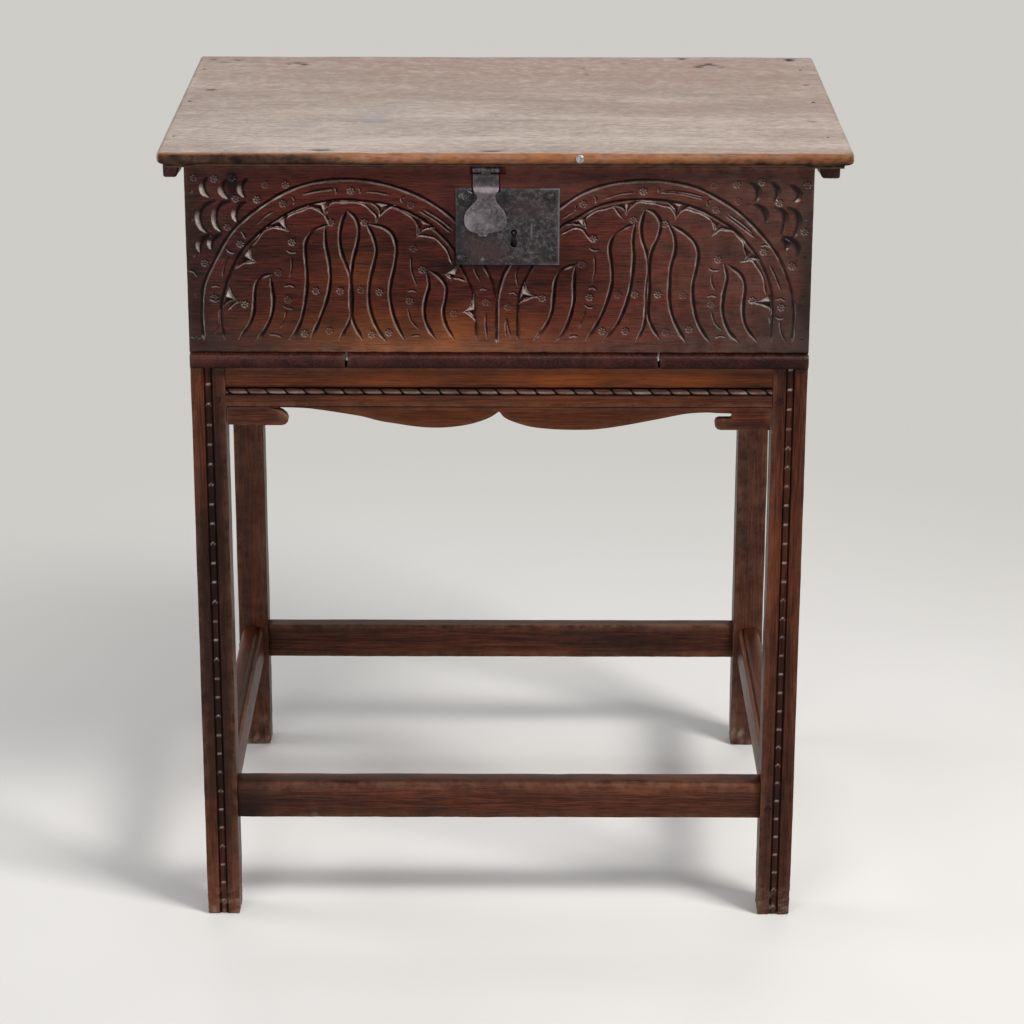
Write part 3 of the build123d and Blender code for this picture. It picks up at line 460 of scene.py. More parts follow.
def leg(node, seed):
    """A leg; a front one has a nick every 20 mm or so across its strip."""
    low, high = span(node)
    front = "front" in node
    step = 1.6 if front else 8.0
    places = np.arange(low[2], high[2] + step / 2, step)
    places[-1] = high[2]
    points, faces = sweep_mesh(leg_section(front), places, 2, end_round=1.5)
    points[:, :2] += low[:2]
    if front:
        x = points[:, 0] - (low[0] + high[0]) / 2
        pitch, start = (21.3, 590.6) if "left" in node else (20.6, 586.0)
        across = np.clip(1 - (np.abs(x) / 3.9) ** 2, 0, 1)
        phase = (points[:, 2] + 1.5 * (x / 3) ** 2 - start) / pitch
        gap = (phase - np.round(phase)) * pitch
        cut = bump_at(gap, 0.95) * across * (points[:, 1] < 2.3)
        ridge = bump_at(np.abs(gap) - pitch / 2, pitch / 3.2) * across * (points[:, 1] < 1.2)
        points[:, 1] += cut * 1.3 + (1 - ridge) * across * 0.25 * (points[:, 1] < 2.3)
        sunk = (np.abs(x) < 5.0) * (points[:, 1] > 0.35) * (0.5 + 0.5 * (points[:, 1] > 1.1))
        soil = np.maximum(sunk - 1.6 * cut, 0.0 if "left" in node else 0.28 * smooth_step(x, 2, 8))
        mark = smooth_step(cut, 0.35, 0.8)
        worn = 0.14 * smooth_step(points[:, 2], 400, 60)
    else:
        points[:, 1] = low[1] + high[1] - points[:, 1]
        faces = [face[::-1] for face in faces]
        mark = soil = np.zeros(len(points))
        # Rear legs are paler all over: partly wear, partly a painted fill light standing in for the shade
        # under the box.
        worn = 0.22
    foot = smooth_step(points[:, 2], 60, 0)
    flecks = smooth_step(wobble(points, 9.0, seed + 7, octaves=4), 0.0, 0.7)
    mark = np.maximum(mark, (0.35 if front else 0.75) * smooth_step(points[:, 2], 45, 5) * flecks)
    amount = uneven(points, seed, (0.225, 80.0)) + 0.6 * foot * uneven(points, seed + 1, (1.0, 9.0))
    amount *= (points[:, 1] > 0.6) | (not front) | (foot > 0)
    points = push_in(points, faces, np.clip(amount, 0, 2))
    points[:, 2] = np.clip(points[:, 2], low[2], high[2])
    edge = 0.7 * arris(points, low, high, 2.5) + foot * 0.3
    edge += worn * (1 + 0.5 * wobble(points, 50.0, seed + 9))
    dress(node, points, faces, STAND_WOOD, stand_oak[2], edge=edge, soil=soil,
          cut=np.maximum(mark, 0.006 if front else 0.03))


def between_legs(section, axis, near, far, step=7.0):
    """A bar along an axis that runs just into the face of a leg at either end."""
    places = np.arange(near - BUTT, far + BUTT + 0.1, step)     # the last ring is moved onto the end
    places[-1] = far + BUTT
    return sweep_mesh(section, places, axis, end_round=0.6)


def cross_rail(node, radii, seed):
    """A plain rail or stretcher along X."""
    low, high = span(node)
    points, faces = between_legs(rounded_rect(low[1:], high[1:], radii), 0, -INNER, INNER)
    amount = uneven(points, seed, (0.2, 110.0))
    amount += uneven(points, seed + 1, (0.25, 17.0)) * arris(points, low, high, 3)
    points = push_in(points, faces, amount)
    edge = arris(points, low, high, 4.0)
    soil, cut = 0 * edge, 0 * edge + 0.02
    if node == "stretcher_front":
        x, z = points[:, 0], points[:, 2]
        # A paler band along the rounded top is a painted highlight, and the darkening towards the bottom is
        # painted shade; the black left end and the two scars are marks on the wood.
        edge += 0.4 * bump_at(z - high[2] + 7, 5.0) * (0.8 + 0.5 * wobble(points * (0.2, 1, 1), 30.0, 47))
        soil = 0.3 * smooth_step(z, high[2] - 14, low[2]) + 0.6 * smooth_step(x, -225, -262)
        cut += stains(x, z, [(-194, 112, 2.2, 4.5, 1.0), (-197, 107, 1.6, 3.0, 0.8)])
    dress(node, points, faces, STAND_WOOD, stand_oak[0], edge=edge, soil=soil, cut=cut)


def front_rail():
    """The front rail with its cable moulding: leaf-shaped twists that lean down to the right."""
    low, high = span("rail_front")
    face = low[1]
    middle = high[2] - 26.0
    half = 4.2
    pitch = 19.35
    outline = rounded_rect(low[1:], high[1:], (1.0, 1.0, 1.0, 1.6), 6.0)
    kept = [(y, z) for y, z in outline if y > face + 0.01 or abs(z - middle) > half + 1.5]
    at = max(i for i, (y, z) in enumerate(kept) if y < face + 0.01 and z > middle) + 1
    rows = [half + 0.6, *np.linspace(half, -half, 19), -half - 0.6]
    section = kept[:at] + [(face, middle + row) for row in rows] + kept[at:]
    points, faces = between_legs(section, 0, -INNER, INNER, 0.9)
    x, z = points[:, 0], points[:, 2] - middle
    inside = (np.abs(z) < half + 0.05) & (points[:, 1] < face + 0.05)
    phase = (x + z) / pitch + 0.12
    phase -= np.floor(phase)
    gap = np.minimum(phase, 1 - phase) * pitch
    swell = np.sin(math.pi * phase) ** 0.6
    leaf = np.clip(1 - (np.where(z < 0, -0.8 * z, z) / (2.4 + 1.5 * swell)) ** 2.4, 0, 1)
    twist = leaf * smooth_step(gap, 0.1, 2.2)
    depth = np.where(inside, 3.3 - 3.1 * twist, 0.0)
    points[:, 1] += depth
    points = push_in(points, faces, uneven(points, 44, (0.15, 110.0)) * ~inside)
    upper = inside & (z > half - 2.6)
    # Painted shade in the deep gaps of the cable and along the upper side of each twist; the rail is also a
    # little darker below the cable.
    soil = np.where(inside, np.clip(depth - 1.5, 0, 1) + 0.8 * upper * smooth_step(depth, 0.5, 1.6), 0)
    soil += 0.12 * ~inside * smooth_step(points[:, 2], middle + 6, middle - 6)
    # A painted highlight along the lower side of each twist, laid in the cut-wood colour.
    glint = inside * bump_at(z + 1.3, 1.3) * twist * (0.55 + 0.35 * wobble(points, 30.0, 45))
    warm = 0.85 - 0.6 * smooth_step(np.abs(x - 20), 120, 260)
    warm *= 0.8 + 0.4 * wobble(points * (0.3, 1, 1), 30.0, 46)
    warm *= 0.35 + 0.65 * smooth_step(points[:, 2], middle - 6, middle + 6)
    dress("rail_front", points, faces, STAND_WOOD, stand_oak[0], edge=arris(points, low, high, 3.0),
          soil=soil, warm=warm * ~inside, cut=glint)


def stretcher_section(width, base, top):
    """Half round outside and a bead inside, from the outer face inwards."""
    section = arc((7, top - 7), (-7, 6.4), 0, QUARTER, 6)
    section += [(11, top - 0.1), (width - 11, top - 0.1), (width - 7.2, top - 0.6), (width - 6.6, top - 3.4),
                (width - 5.2, top - 3.6)]
    section += arc((width - 2.5, top - 3.9), (2.5, 2.5), math.pi, 0, 8)
    section += [(width, top - 12), (width, (top + base) / 2), (width, base + 0.8), (width - 0.8, base)]
    return section + [(0.8, base), (0, base + 0.8), (0, (top + base) / 2)]


def side_piece(node, seed):
    """A side rail or side stretcher, as a section in X and Z carried along Y."""
    low, high = span(node)
    if node.startswith("stretcher"):
        outer, inwards = (low[0], 1) if low[0] < 0 else (high[0], -1)
        section = [(outer + inwards * x, z) for x, z in stretcher_section(high[0] - low[0], low[2], high[2])]
    else:
        section = rounded_rect((low[0], low[2]), (high[0], high[2]), (1.2,) * 4)
    points, faces = between_legs(section, 1, leg_high[1], REAR)
    points = push_in(points, faces, uneven(points, seed, (0.175, 100.0)))
    dress(node, points, faces, STAND_WOOD, stand_oak[1], edge=arris(points, low, high, 4.0))


for i, node in enumerate(("leg_front_left", "leg_front_right", "leg_rear_left", "leg_rear_right")):
    leg(node, 31 + i)
cross_rail("stretcher_front", (1.5, 2.0, 2.0, 9.0), 41)
cross_rail("stretcher_rear", (2.0, 1.5, 9.0, 2.0), 42)
cross_rail("rail_rear", (1.2,) * 4, 43)
front_rail()
for i, node in enumerate(("rail_left", "rail_right", "stretcher_left", "stretcher_right")):
    side_piece(node, 51 + i)


# ---------------------------------------------------------------- sheets cut to an outline

def turned(loop, clockwise):
    """The loop, run counter-clockwise for an outline and clockwise for a hole."""
    x, y = loop[:, 0], loop[:, 1]
    area = np.sum(x * np.roll(y, -1) - np.roll(x, -1) * y)
    return loop[::-1] if (area > 0) == clockwise else loop


def dense(loop, step):
    """The loop with points added, so that none are further apart than a step."""
    points = []
    for a, b in zip(loop, np.roll(loop, -1, axis=0)):
        count = max(1, int(np.ceil(np.linalg.norm(b - a) / step)))
        points += [a + (b - a) * i / count for i in range(count)]
    return np.array(points)


def after_each(loops):
    """Index of the point after each point, in loops put end to end."""
    after, first = [], 0
    for loop in loops:
        after.append(np.roll(np.arange(first, first + len(loop)), -1))
        first += len(loop)
    return np.concatenate(after)


def from_outline(spots, loops):
    """Distance of each spot to the nearest outline."""
    start = np.vstack(loops)
    run = start[after_each(loops)] - start
    size = np.maximum((run ** 2).sum(1), 1e-12)
    nearest = []
    for first in range(0, len(spots), 2000):
        some = spots[first:first + 2000, None]
        t = np.clip(((some - start) * run).sum(2) / size, 0, 1)
        nearest.append(np.linalg.norm(some - (start + t[..., None] * run), axis=2).min(1))
    return np.concatenate(nearest)


def within(spots, loops):
    """Even-odd test."""
    inside = np.zeros(len(spots), bool)
    for loop in loops:
        for a, b in zip(loop, np.roll(loop, -1, axis=0)):
            if a[1] != b[1]:
                crosses = (spots[:, 1] > min(a[1], b[1])) & (spots[:, 1] <= max(a[1], b[1]))
                line = a[0] + (spots[:, 1] - a[1]) * (b[0] - a[0]) / (b[1] - a[1])
                inside ^= crosses & (spots[:, 0] < line)
    return inside


def fill(loops, extra=()):
    """Triangles between the outlines, through the extra spots."""
    after = after_each(loops)
    spots = [Vector(spot) for spot in (*np.vstack(loops), *extra)]
    made = delaunay_2d_cdt(spots, list(enumerate(after.tolist())), [], 0, 1e-6)
    placed = np.array([tuple(spot) for spot in made[0]])
    faces = np.array([face[:3] for face in made[2]])
    faces = faces[within(placed[faces].mean(1), loops)]
    edge_ids = np.full(len(after), -1)
    for new, old in enumerate(made[3]):
        for i in old:
            if i < len(after):
                edge_ids[i] = new
    return placed, faces.tolist(), edge_ids


def loop_normals(loop):
    """At each point of a turned loop, the direction into the sheet."""
    along = np.roll(loop, -1, axis=0) - np.roll(loop, 1, axis=0)
    along /= np.maximum(np.linalg.norm(along, axis=1), 1e-9)[:, None]
    return np.stack([-along[:, 1], along[:, 0]], 1)


def sheet_mesh(loops, place, edge_round, cell, edge_step, surface, walls, inset_share=None):
    """A closed sheet. place(spots, depth) puts spots of the outline's plane into space, surface(spots, far)
    is how far its face is sunk, and walls are the (inset, depth) of the rings down its sides."""
    loops = [dense(turned(np.asarray(loop, float), i > 0), edge_step) for i, loop in enumerate(loops)]
    offsets = [edge_round * share for share in (0.12, 0.35, 0.7, 1.15)]
    extra = []
    for offset in offsets:
        for loop in loops:
            spots = loop + loop_normals(loop) * offset
            extra.append(spots[(from_outline(spots, loops) > offset * 0.86) & within(spots, loops)])
    low, high = loops[0].min(0), loops[0].max(0)
    grid = np.stack(np.meshgrid(*(np.arange(low[i], high[i], cell) for i in (0, 1))), -1).reshape(-1, 2)
    grid = grid + cell * 0.12 * np.stack([np.sin(grid[:, 1] * 9.1), np.sin(grid[:, 0] * 7.7)], 1)
    grid = grid[within(grid, loops)]
    extra.append(grid[from_outline(grid, loops) > offsets[-1] + cell * 0.45])
    placed, faces, rim = fill(loops, np.vstack(extra))
    far = from_outline(placed, loops)
    far[rim] = 0
    short = edge_round - np.minimum(far, edge_round)
    depth = edge_round - np.sqrt(np.clip(edge_round ** 2 - short ** 2, 0, None))
    points = [place(placed, depth + surface(placed, far))]
    outline = np.vstack(loops)
    inwards = np.vstack([loop_normals(loop) for loop in loops])
    if inset_share:
        inwards *= inset_share(outline)[:, None]
    after = after_each(loops)
    first = len(placed)
    for inset, deep in walls:
        ring = outline + inwards * inset
        points.append(place(ring, np.full(len(ring), deep)))
        ids = np.arange(first, first + len(ring))
        faces += np.stack([rim[after], rim, ids, ids[after]], 1).tolist()
        rim = ids
        first += len(ring)
    ends = np.cumsum([len(loop) for loop in loops])[:-1]
    back, back_faces, back_ids = fill(np.split(ring, ends))
    turn = np.full(len(back), -1)
    turn[back_ids] = rim
    faces += [[int(turn[i]) for i in face[::-1]] for face in back_faces if min(turn[face]) >= 0]
    points = np.vstack(points)
    return points, facing_out(points, faces), far, len(placed)


def upright(spots, y=0.0):
    """Spots of a plane that faces the viewer, at a depth y."""
    return np.stack([spots[:, 0], y + 0 * spots[:, 0], spots[:, 1]], 1)


# ---------------------------------------------------------------- carved front board

# Beds let into the front board for the hasp and the lock: X from and to, Z from and to, depth.
BEDS = [(-27.0, 1.0, 788.5, 820.0, 1.4), (-28.3, 6.5, 807.3, 820.0, 4.9), (-17.3, -8.7, 752.6, 820.0, 10.6),
        (-25.0, 53.0, 757.4, 766.2, 9.6), (-1.0, 53.0, 726.8, 775.3, 9.6)]
LEAF_BED = (-27.0, 1.0, 812.5)     # X from and to, and its upper end
# Stains on the front board: X, Z, half width, half height, strength.
BOARD_STAINS = [(-262.6, 797, 6, 12, 1.2), (225, 734, 9, 10, 0.6), (-230, 640, 45, 16, 0.45),
                (-95, 652, 40, 9, 0.4), (-285, 630, 40, 14, 0.5), (285, 640, 30, 60, 0.3),
                (-300, 745, 12, 60, 0.3), (100, 800, 40, 10, 0.2), (-50, 755, 7, 42, 0.5),
                (8, 712, 62, 6, 0.45), (-300, 655, 14, 30, 0.5), (-168, 656, 16, 9, 0.5),
                (306, 700, 9, 110, 0.45), (-120, 640, 60, 6, 0.3), (40, 700, 40, 12, 0.4),
                (210, 655, 50, 18, 0.3), (64, 760, 6, 38, 0.35), (84, 700, 24, 30, 0.3)]


class Relief:
    """Depth of a carved face in millimetres, on a grid of X across and Z up."""

    def __init__(self, xs, zs):
        self.xs, self.zs = xs, zs
        self.depth, self.bare, self.soil = np.zeros((3, len(zs), len(xs)))
        self.near = np.full_like(self.depth, 9.0)
        self.turn = np.full_like(self.depth, 0.7)

    def window(self, low, high):
        columns = slice(*np.searchsorted(self.xs, (low[0], high[0])))
        rows = slice(*np.searchsorted(self.zs, (low[1], high[1])))
        return (rows, columns), *np.meshgrid(self.xs[columns], self.zs[rows])

    def raise_to(self, where, **values):
        """Raises the named layers to new values where these are higher."""
        for name, value in values.items():
            layer = getattr(self, name)
            layer[where] = np.maximum(layer[where], value)

    def groove(self, points, width, depth, taper=9.0, bare=0.5, turn=0.7, bare_end=None):
        """A V cut along a curve, running out at its ends; turn leans the light it catches to the side."""
        line = spline(points, 0.45)
        run = np.concatenate([[0], np.cumsum(np.linalg.norm(np.diff(line, axis=0), axis=1))])
        left = np.minimum(run, run[-1] - run)
        size = 0.35 + 0.65 * smooth_step(left, 0, min(taper, run[-1] / 2.2))
        hand = 1 + 0.10 * np.sin(run / 7.0 + points[0][0]) + 0.06 * np.sin(run / 2.3)
        shades = np.interp(run / run[-1], (0.30, 0.62), (bare, bare if bare_end is None else bare_end))
        for (x, z), share, shade in zip(line, size * hand, shades):
            reach = width / 2 * share
            where, across, up = self.window((x - reach, z - reach), (x + reach, z + reach))
            far = np.hypot(across - x, up - z) / reach
            # Its middle is darkened as painted shade; its pale walls are kept later only where they face the
            # light, as painted highlights.
            self.raise_to(where, depth=depth * share * np.clip(1 - far ** 1.35, 0, 1), bare=shade * (far < 1),
                          soil=np.clip(1.0 - 2.6 * far, 0, 0.75))
            self.near[where] = np.minimum(self.near[where], far)
            self.turn[where] = np.where(far < 1.2, turn, self.turn[where])

    def cut(self, where, depth, bare, soil=0.0):
        """A cut that is bared all over, where a groove is bared along one line only."""
        self.raise_to(where, depth=depth, bare=bare, soil=soil)
        self.near[where] = np.where(bare > 0.02, 0.62, self.near[where])

    def crescent(self, points, width, depth, side):
        """A gouge cut: upright along the curve, sloping away to one side of it."""
        line = spline(points, 0.6)
        where, across, up = self.window(line.min(0) - width - 1, line.max(0) + width + 1)
        gap = np.hypot(across[..., None] - line[:, 0], up[..., None] - line[:, 1])
        near = gap.argmin(-1)
        away = gap.min(-1)
        t = near / (len(line) - 1)
        inner = (near > 0) & (near < len(line) - 1)
        swell = np.sin(math.pi * t) ** 0.7 * (0.72 + 0.28 * t)
        on_side = (across - line[near, 0]) * side > 0
        share = np.clip(1 - away / (width * swell + 0.01), 0, 1) * on_side * inner
        # Darkened along the upright wall as its painted shadow, and paled on the slope as cut wood.
        self.cut(where, depth * swell * share ** 0.9, 0.8 * (share > 0.02) * (away > 1.0),
                 0.95 * np.clip(2.0 - away, 0, 1) * inner)

    def chip(self, corners, depth):
        """A three-pointed cut, upright along the two curves that meet in its cusp, with a ridge between."""
        a, cusp, b = np.asarray(corners, float)
        middle = (a + cusp + b) / 3
        ends = np.array([a + (a - middle) * 0.15, b + (b - middle) * 0.15])
        sides = []
        for end in ends:
            half_way = (cusp + end) / 2
            sides.append(spline([cusp, half_way + (middle - half_way) * 0.5, end], 0.3))
        reach = np.vstack([ends, cusp])
        where, across, up = self.window(reach.min(0), reach.max(0))
        spots = np.stack([across.ravel(), up.ravel()], 1)
        inside = within(spots, [np.vstack([sides[0][::-1], sides[1][1:]])]).reshape(across.shape)
        one, two = [np.hypot(across[..., None] - side[:, 0], up[..., None] - side[:, 1]).min(-1)
                    for side in sides]
        share = (np.abs(one - two) / (one + two + 0.05)) ** 0.85
        share *= smooth_step(np.hypot(across - cusp[0], up - cusp[1]), -0.5, 5.0)
        self.cut(where, depth * share * inside, 0.75 * inside)
        return sides

    def rosette(self, centre, turn, strength, radius=4.1):
        """A small flower struck with a punch."""
        x, z = centre
        reach = radius * 1.2
        where, across, up = self.window((x - reach, z - reach), (x + reach, z + reach))
        far = np.hypot(across - x, up - z) / radius
        petals = smooth_step(np.cos(np.arctan2(up - z, across - x) * 7 + turn), -0.7, 0.7)
        struck = np.exp(-((far - 0.66) / 0.30) ** 4) * petals + 0.9 * bump_at(far, 0.24)
        dish = 0.55 * smooth_step(1.06 - far, 0, 0.25)
        self.cut(where, self.depth[where] + strength * (0.95 * struck + dish),
                 strength * 0.4 * smooth_step(1.08 - far, 0, 0.2),
                 0.5 * strength * (far < 1) * (struck > 0.6))


def lunette(corner, **kinds):
    """The cuts of one lunette, from the carver's template, which is drawn five times full size. Its points
    are right,down from a corner above the box, with ; between two cuts."""
    def place(spot):
        right, down = spot.split(",")
        return corner[0] + int(right) / 5, corner[1] - int(down) / 5

    return {kind: [[place(spot) for spot in cut.split()] for cut in text.split(";")]
            for kind, text in kinds.items()}


LEFT = lunette(
    (-315.0, 830.0),
    arches="""
100,960 95,850 105,700 150,590 240,430 350,320 500,220 640,165 800,145 950,155 1100,195 1230,255 1350,345
1430,450 1500,580 1545,680 1565,800 1565,980; 205,960 190,850 205,740 245,620 310,500 400,410 520,325
640,275 780,250 900,255 1030,275 1150,320 1250,390 1350,500 1385,585 1430,680 1455,780 1465,960""",
    strokes="""
825,300 800,350 785,430 795,520 830,620 840,700 840,800 830,860 800,920 775,965; 825,300 865,340 880,400
870,470 850,550 840,620 835,700 835,800 850,880 890,960; 740,370 680,390 640,420 615,470 615,550 620,650
610,750 590,850 560,920 530,960; 715,380 715,470 730,560 735,650 720,740 690,830 660,900 635,955; 920,370
950,430 965,500 955,560 935,640 925,720 930,800 950,870 980,930 1010,970; 935,370 1000,385 1045,420 1065,490
1055,580 1035,670 1030,740 1045,830 1070,900 1100,960; 450,625 400,640 365,680 355,760 350,820 330,880
275,960; 440,645 445,700 450,770 435,850 400,920 360,970; 1215,610 1225,680 1210,740 1200,800 1205,860
1225,910 1255,955; 1230,605 1280,640 1310,690 1305,760 1295,820 1310,890 1350,960""",
    foils="""
225,810 260,780 300,775; 262,612 310,575 368,568; 365,470 400,420 450,395 500,400 530,420; 530,400 525,360
550,320 610,298 670,300 710,330 735,370; 730,320 745,285 790,260 880,260 930,285 960,330 965,365; 970,335
1000,305 1050,290 1110,310 1150,345 1165,380 1155,440; 1160,450 1200,432 1250,435 1290,470 1320,510
1340,570; 1310,630 1360,640 1410,660; 1380,825 1420,835 1455,880""",
    dashes="""
605,220 680,204 765,195; 620,212 700,196 770,188; 910,205 970,208 1035,220; 1180,300 1260,350 1340,415;
1200,292 1280,342 1350,402; 375,375 420,330 470,300; 200,650 215,580 245,520; 180,800 178,880 150,940;
545,530 545,600 530,645; 1140,525 1140,600 1165,685; 515,800 505,860 475,910; 1120,800 1135,860 1175,910;
1445,580 1460,620 1480,660; 1510,815 1508,880 1515,960; 30,950 65,953 100,955""",
    ticks="""
553,228 567,248 560,270; 765,185 774,200 768,216; 882,184 893,200 886,214; 1108,226 1094,240 1096,258;
300,405 312,424 320,445; 225,495 240,512 266,518; 145,692 165,686 190,692; 132,752 160,766 186,756; 1478,704
1495,697 1512,704; 522,503 550,516 575,508; 508,688 535,682 560,693; 497,785 522,800 552,803; 1120,712
1143,706 1166,716; 428,936 460,938 492,952; 1130,947 1155,940 1182,942; 35,608 60,615 75,638; 50,205 64,214
74,210""",
    chips="""
235,690 285,765 205,790; 350,490 378,566 270,588; 530,325 540,408 425,392; 750,258 722,336 630,280; 1062,275
980,336 945,266; 1255,390 1168,438 1155,342; 1375,570 1296,622 1338,660; 1446,735 1394,818 1462,868""",
    scales="""
139,132 126,168 129,205 149,233; 234,144 219,177 221,209 246,241; 340,140 318,164 312,197 324,237; 179,247
125,281 101,326 107,378 137,418; 252,251 201,277 181,326 183,374 205,410; 330,255 294,285 278,326 284,362;
159,420 121,447 99,475 95,519; 207,418 169,447 153,471 155,503""",
    rosettes="""
510,265 845,200 1140,270 295,470 158,745 1510,765 745,360 910,360 480,615 1195,600 550,460 1150,490 665,710
785,710 890,705 980,715 605,930 728,915 940,935 1025,925 525,755 1130,760 310,780 1350,825 76,135 173,140
262,135 278,240 383,245 425,170 525,170 117,568 234,384""")
RIGHT = lunette(
    (-5.0, 830.0),
    arches="""
15,980 15,850 20,740 45,640 75,580 140,470 220,360 325,285 430,215 550,170 680,150 800,148 900,160 1000,185
1100,235 1200,300 1300,395 1390,505 1440,600 1480,720 1495,830 1490,970; 120,965 120,830 130,730 160,650
195,580 250,480 330,385 400,345 470,300 540,270 640,250 760,245 900,260 1000,290 1100,340 1200,410 1280,500
1340,600 1380,720 1390,850 1385,965""",
    strokes="""
745,290 725,370 730,440 755,520 765,600 755,700 755,800 745,890 710,970; 745,290 790,310 820,360 810,430
780,500 768,570 770,700 765,820 785,890 825,955; 695,365 640,390 590,430 570,490 580,570 585,650 570,730
540,820 500,900 460,960; 695,370 685,450 690,530 685,620 670,720 640,820 600,900 545,970; 860,365 890,430
895,500 875,580 870,660 870,750 885,830 915,900 955,970; 880,375 940,410 990,460 1010,520 1000,600 985,680
990,770 1010,860 1040,920 1075,970; 410,570 340,600 305,650 295,730 285,820 250,900 200,960; 400,590 395,680
395,760 375,850 340,930 305,970; 1140,570 1155,640 1140,720 1135,800 1150,870 1180,930 1220,970; 1160,575
1220,620 1245,680 1240,760 1240,830 1260,900 1310,965""",
    foils="""
330,420 380,395 430,400 465,430 475,450; 460,385 455,340 490,305 545,290 600,300 635,340; 640,330 670,280
710,258 800,262 860,290 890,330 890,355; 900,340 930,310 980,300 1040,320 1075,360 1080,400 1075,430;
1080,430 1110,405 1160,400 1210,430 1245,480 1240,530 1225,545; 1210,560 1270,560 1310,590 1340,650
1345,720; 1290,770 1330,765 1370,800 1375,870; 150,770 190,740 230,740""",
    dashes="""
130,580 110,620 118,690; 60,840 70,900 85,950; 330,345 365,320 400,300; 540,240 620,215 700,205; 815,205
900,210 960,222 1030,240; 830,197 910,202 980,215 1030,230; 1140,320 1220,380 1300,440; 1150,310 1230,368
1290,425; 1365,570 1400,640 1425,705; 1425,850 1430,910 1455,970; 497,520 500,600 485,670; 460,800 440,860
420,900; 1085,610 1080,660 1100,710; 1080,810 1100,870 1135,910; 60,845 58,900 62,950""",
    ticks="""
75,722 95,716 115,730; 490,222 503,240 500,260; 806,178 809,190 808,204; 1068,238 1052,255 1054,275;
1400,752 1425,745 1450,757; 1400,838 1425,850 1448,842; 472,488 497,500 522,496; 470,698 490,690 512,706;
450,776 470,792 497,795; 375,948 398,940 422,946; 1062,588 1090,602 1117,598; 1058,738 1082,730 1106,737;
1105,948 1130,940 1160,946; 1320,478 1340,470 1362,480; 395,300 405,285 400,268""",
    chips="""
450,335 462,392 365,372; 705,255 652,322 590,275; 965,282 897,336 858,262; 1175,398 1084,408 1072,345;
1318,552 1232,556 1240,492; 1362,728 1262,766 1374,795; 152,670 222,744 128,775""",
    scales="""
1257,152 1283,180 1293,213 1287,253; 1361,152 1382,180 1388,213 1382,253; 1454,164 1486,201 1492,229
1474,253; 1281,263 1317,293 1335,330 1341,362; 1381,275 1418,305 1428,346 1418,418; 1442,277 1482,309
1496,354 1490,402 1478,434; 1422,426 1462,450 1498,491 1504,527; 1420,440 1440,470 1442,500""",
    rosettes="""
440,265 735,200 1095,290 1335,505 1430,790 70,790 690,345 845,365 435,570 1110,545 490,440 615,725 700,725
815,725 940,730 540,915 655,915 855,920 975,905 475,740 1080,775 240,745 1285,755 1085,170 1195,165 1317,152
1204,249 1406,257 1543,168 1535,402 1478,578""")


def carve(relief, cuts, side):
    """Cuts one lunette; side is -1 for the left one and 1 for the right one."""
    for points, bare in zip(cuts["arches"], (0.62, 0.12)):
        relief.groove(points, 4.3, 2.7, taper=5, bare=bare, turn=0.0, bare_end=0.35 * bare + 0.08)
    for points in cuts["strokes"]:
        relief.groove(points, 4.4, 2.8, bare=0.40, turn=1.0)
    sides = np.vstack([curve for points in cuts["chips"] for curve in relief.chip(points, 3.8)])
    for points in cuts["foils"]:
        line = spline(points, 2.0)
        gap = np.linalg.norm(line[:, None] - sides[None], axis=2)
        pull = smooth_step(gap.min(1), 5.0, 3.0)[:, None]
        line = line * (1 - pull) + sides[gap.argmin(1)] * pull
        relief.groove(np.vstack([line[:-2:4], line[-1:]]), 2.8, 1.6, taper=5, bare=0.6, turn=0.5)
    for points in cuts["dashes"]:
        relief.groove(points, 2.4, 1.4, taper=6, bare=0.34)
    for points in cuts["ticks"]:
        relief.groove(points, 2.3, 1.4, taper=2, bare=0.42)
    for points in cuts["scales"]:
        relief.crescent(points, 6.4, 3.6, side)
    for i, centre in enumerate(cuts["rosettes"][0]):
        relief.rosette(centre, i * 1.3, 0.75 + 0.25 * math.sin(i * 2.1))


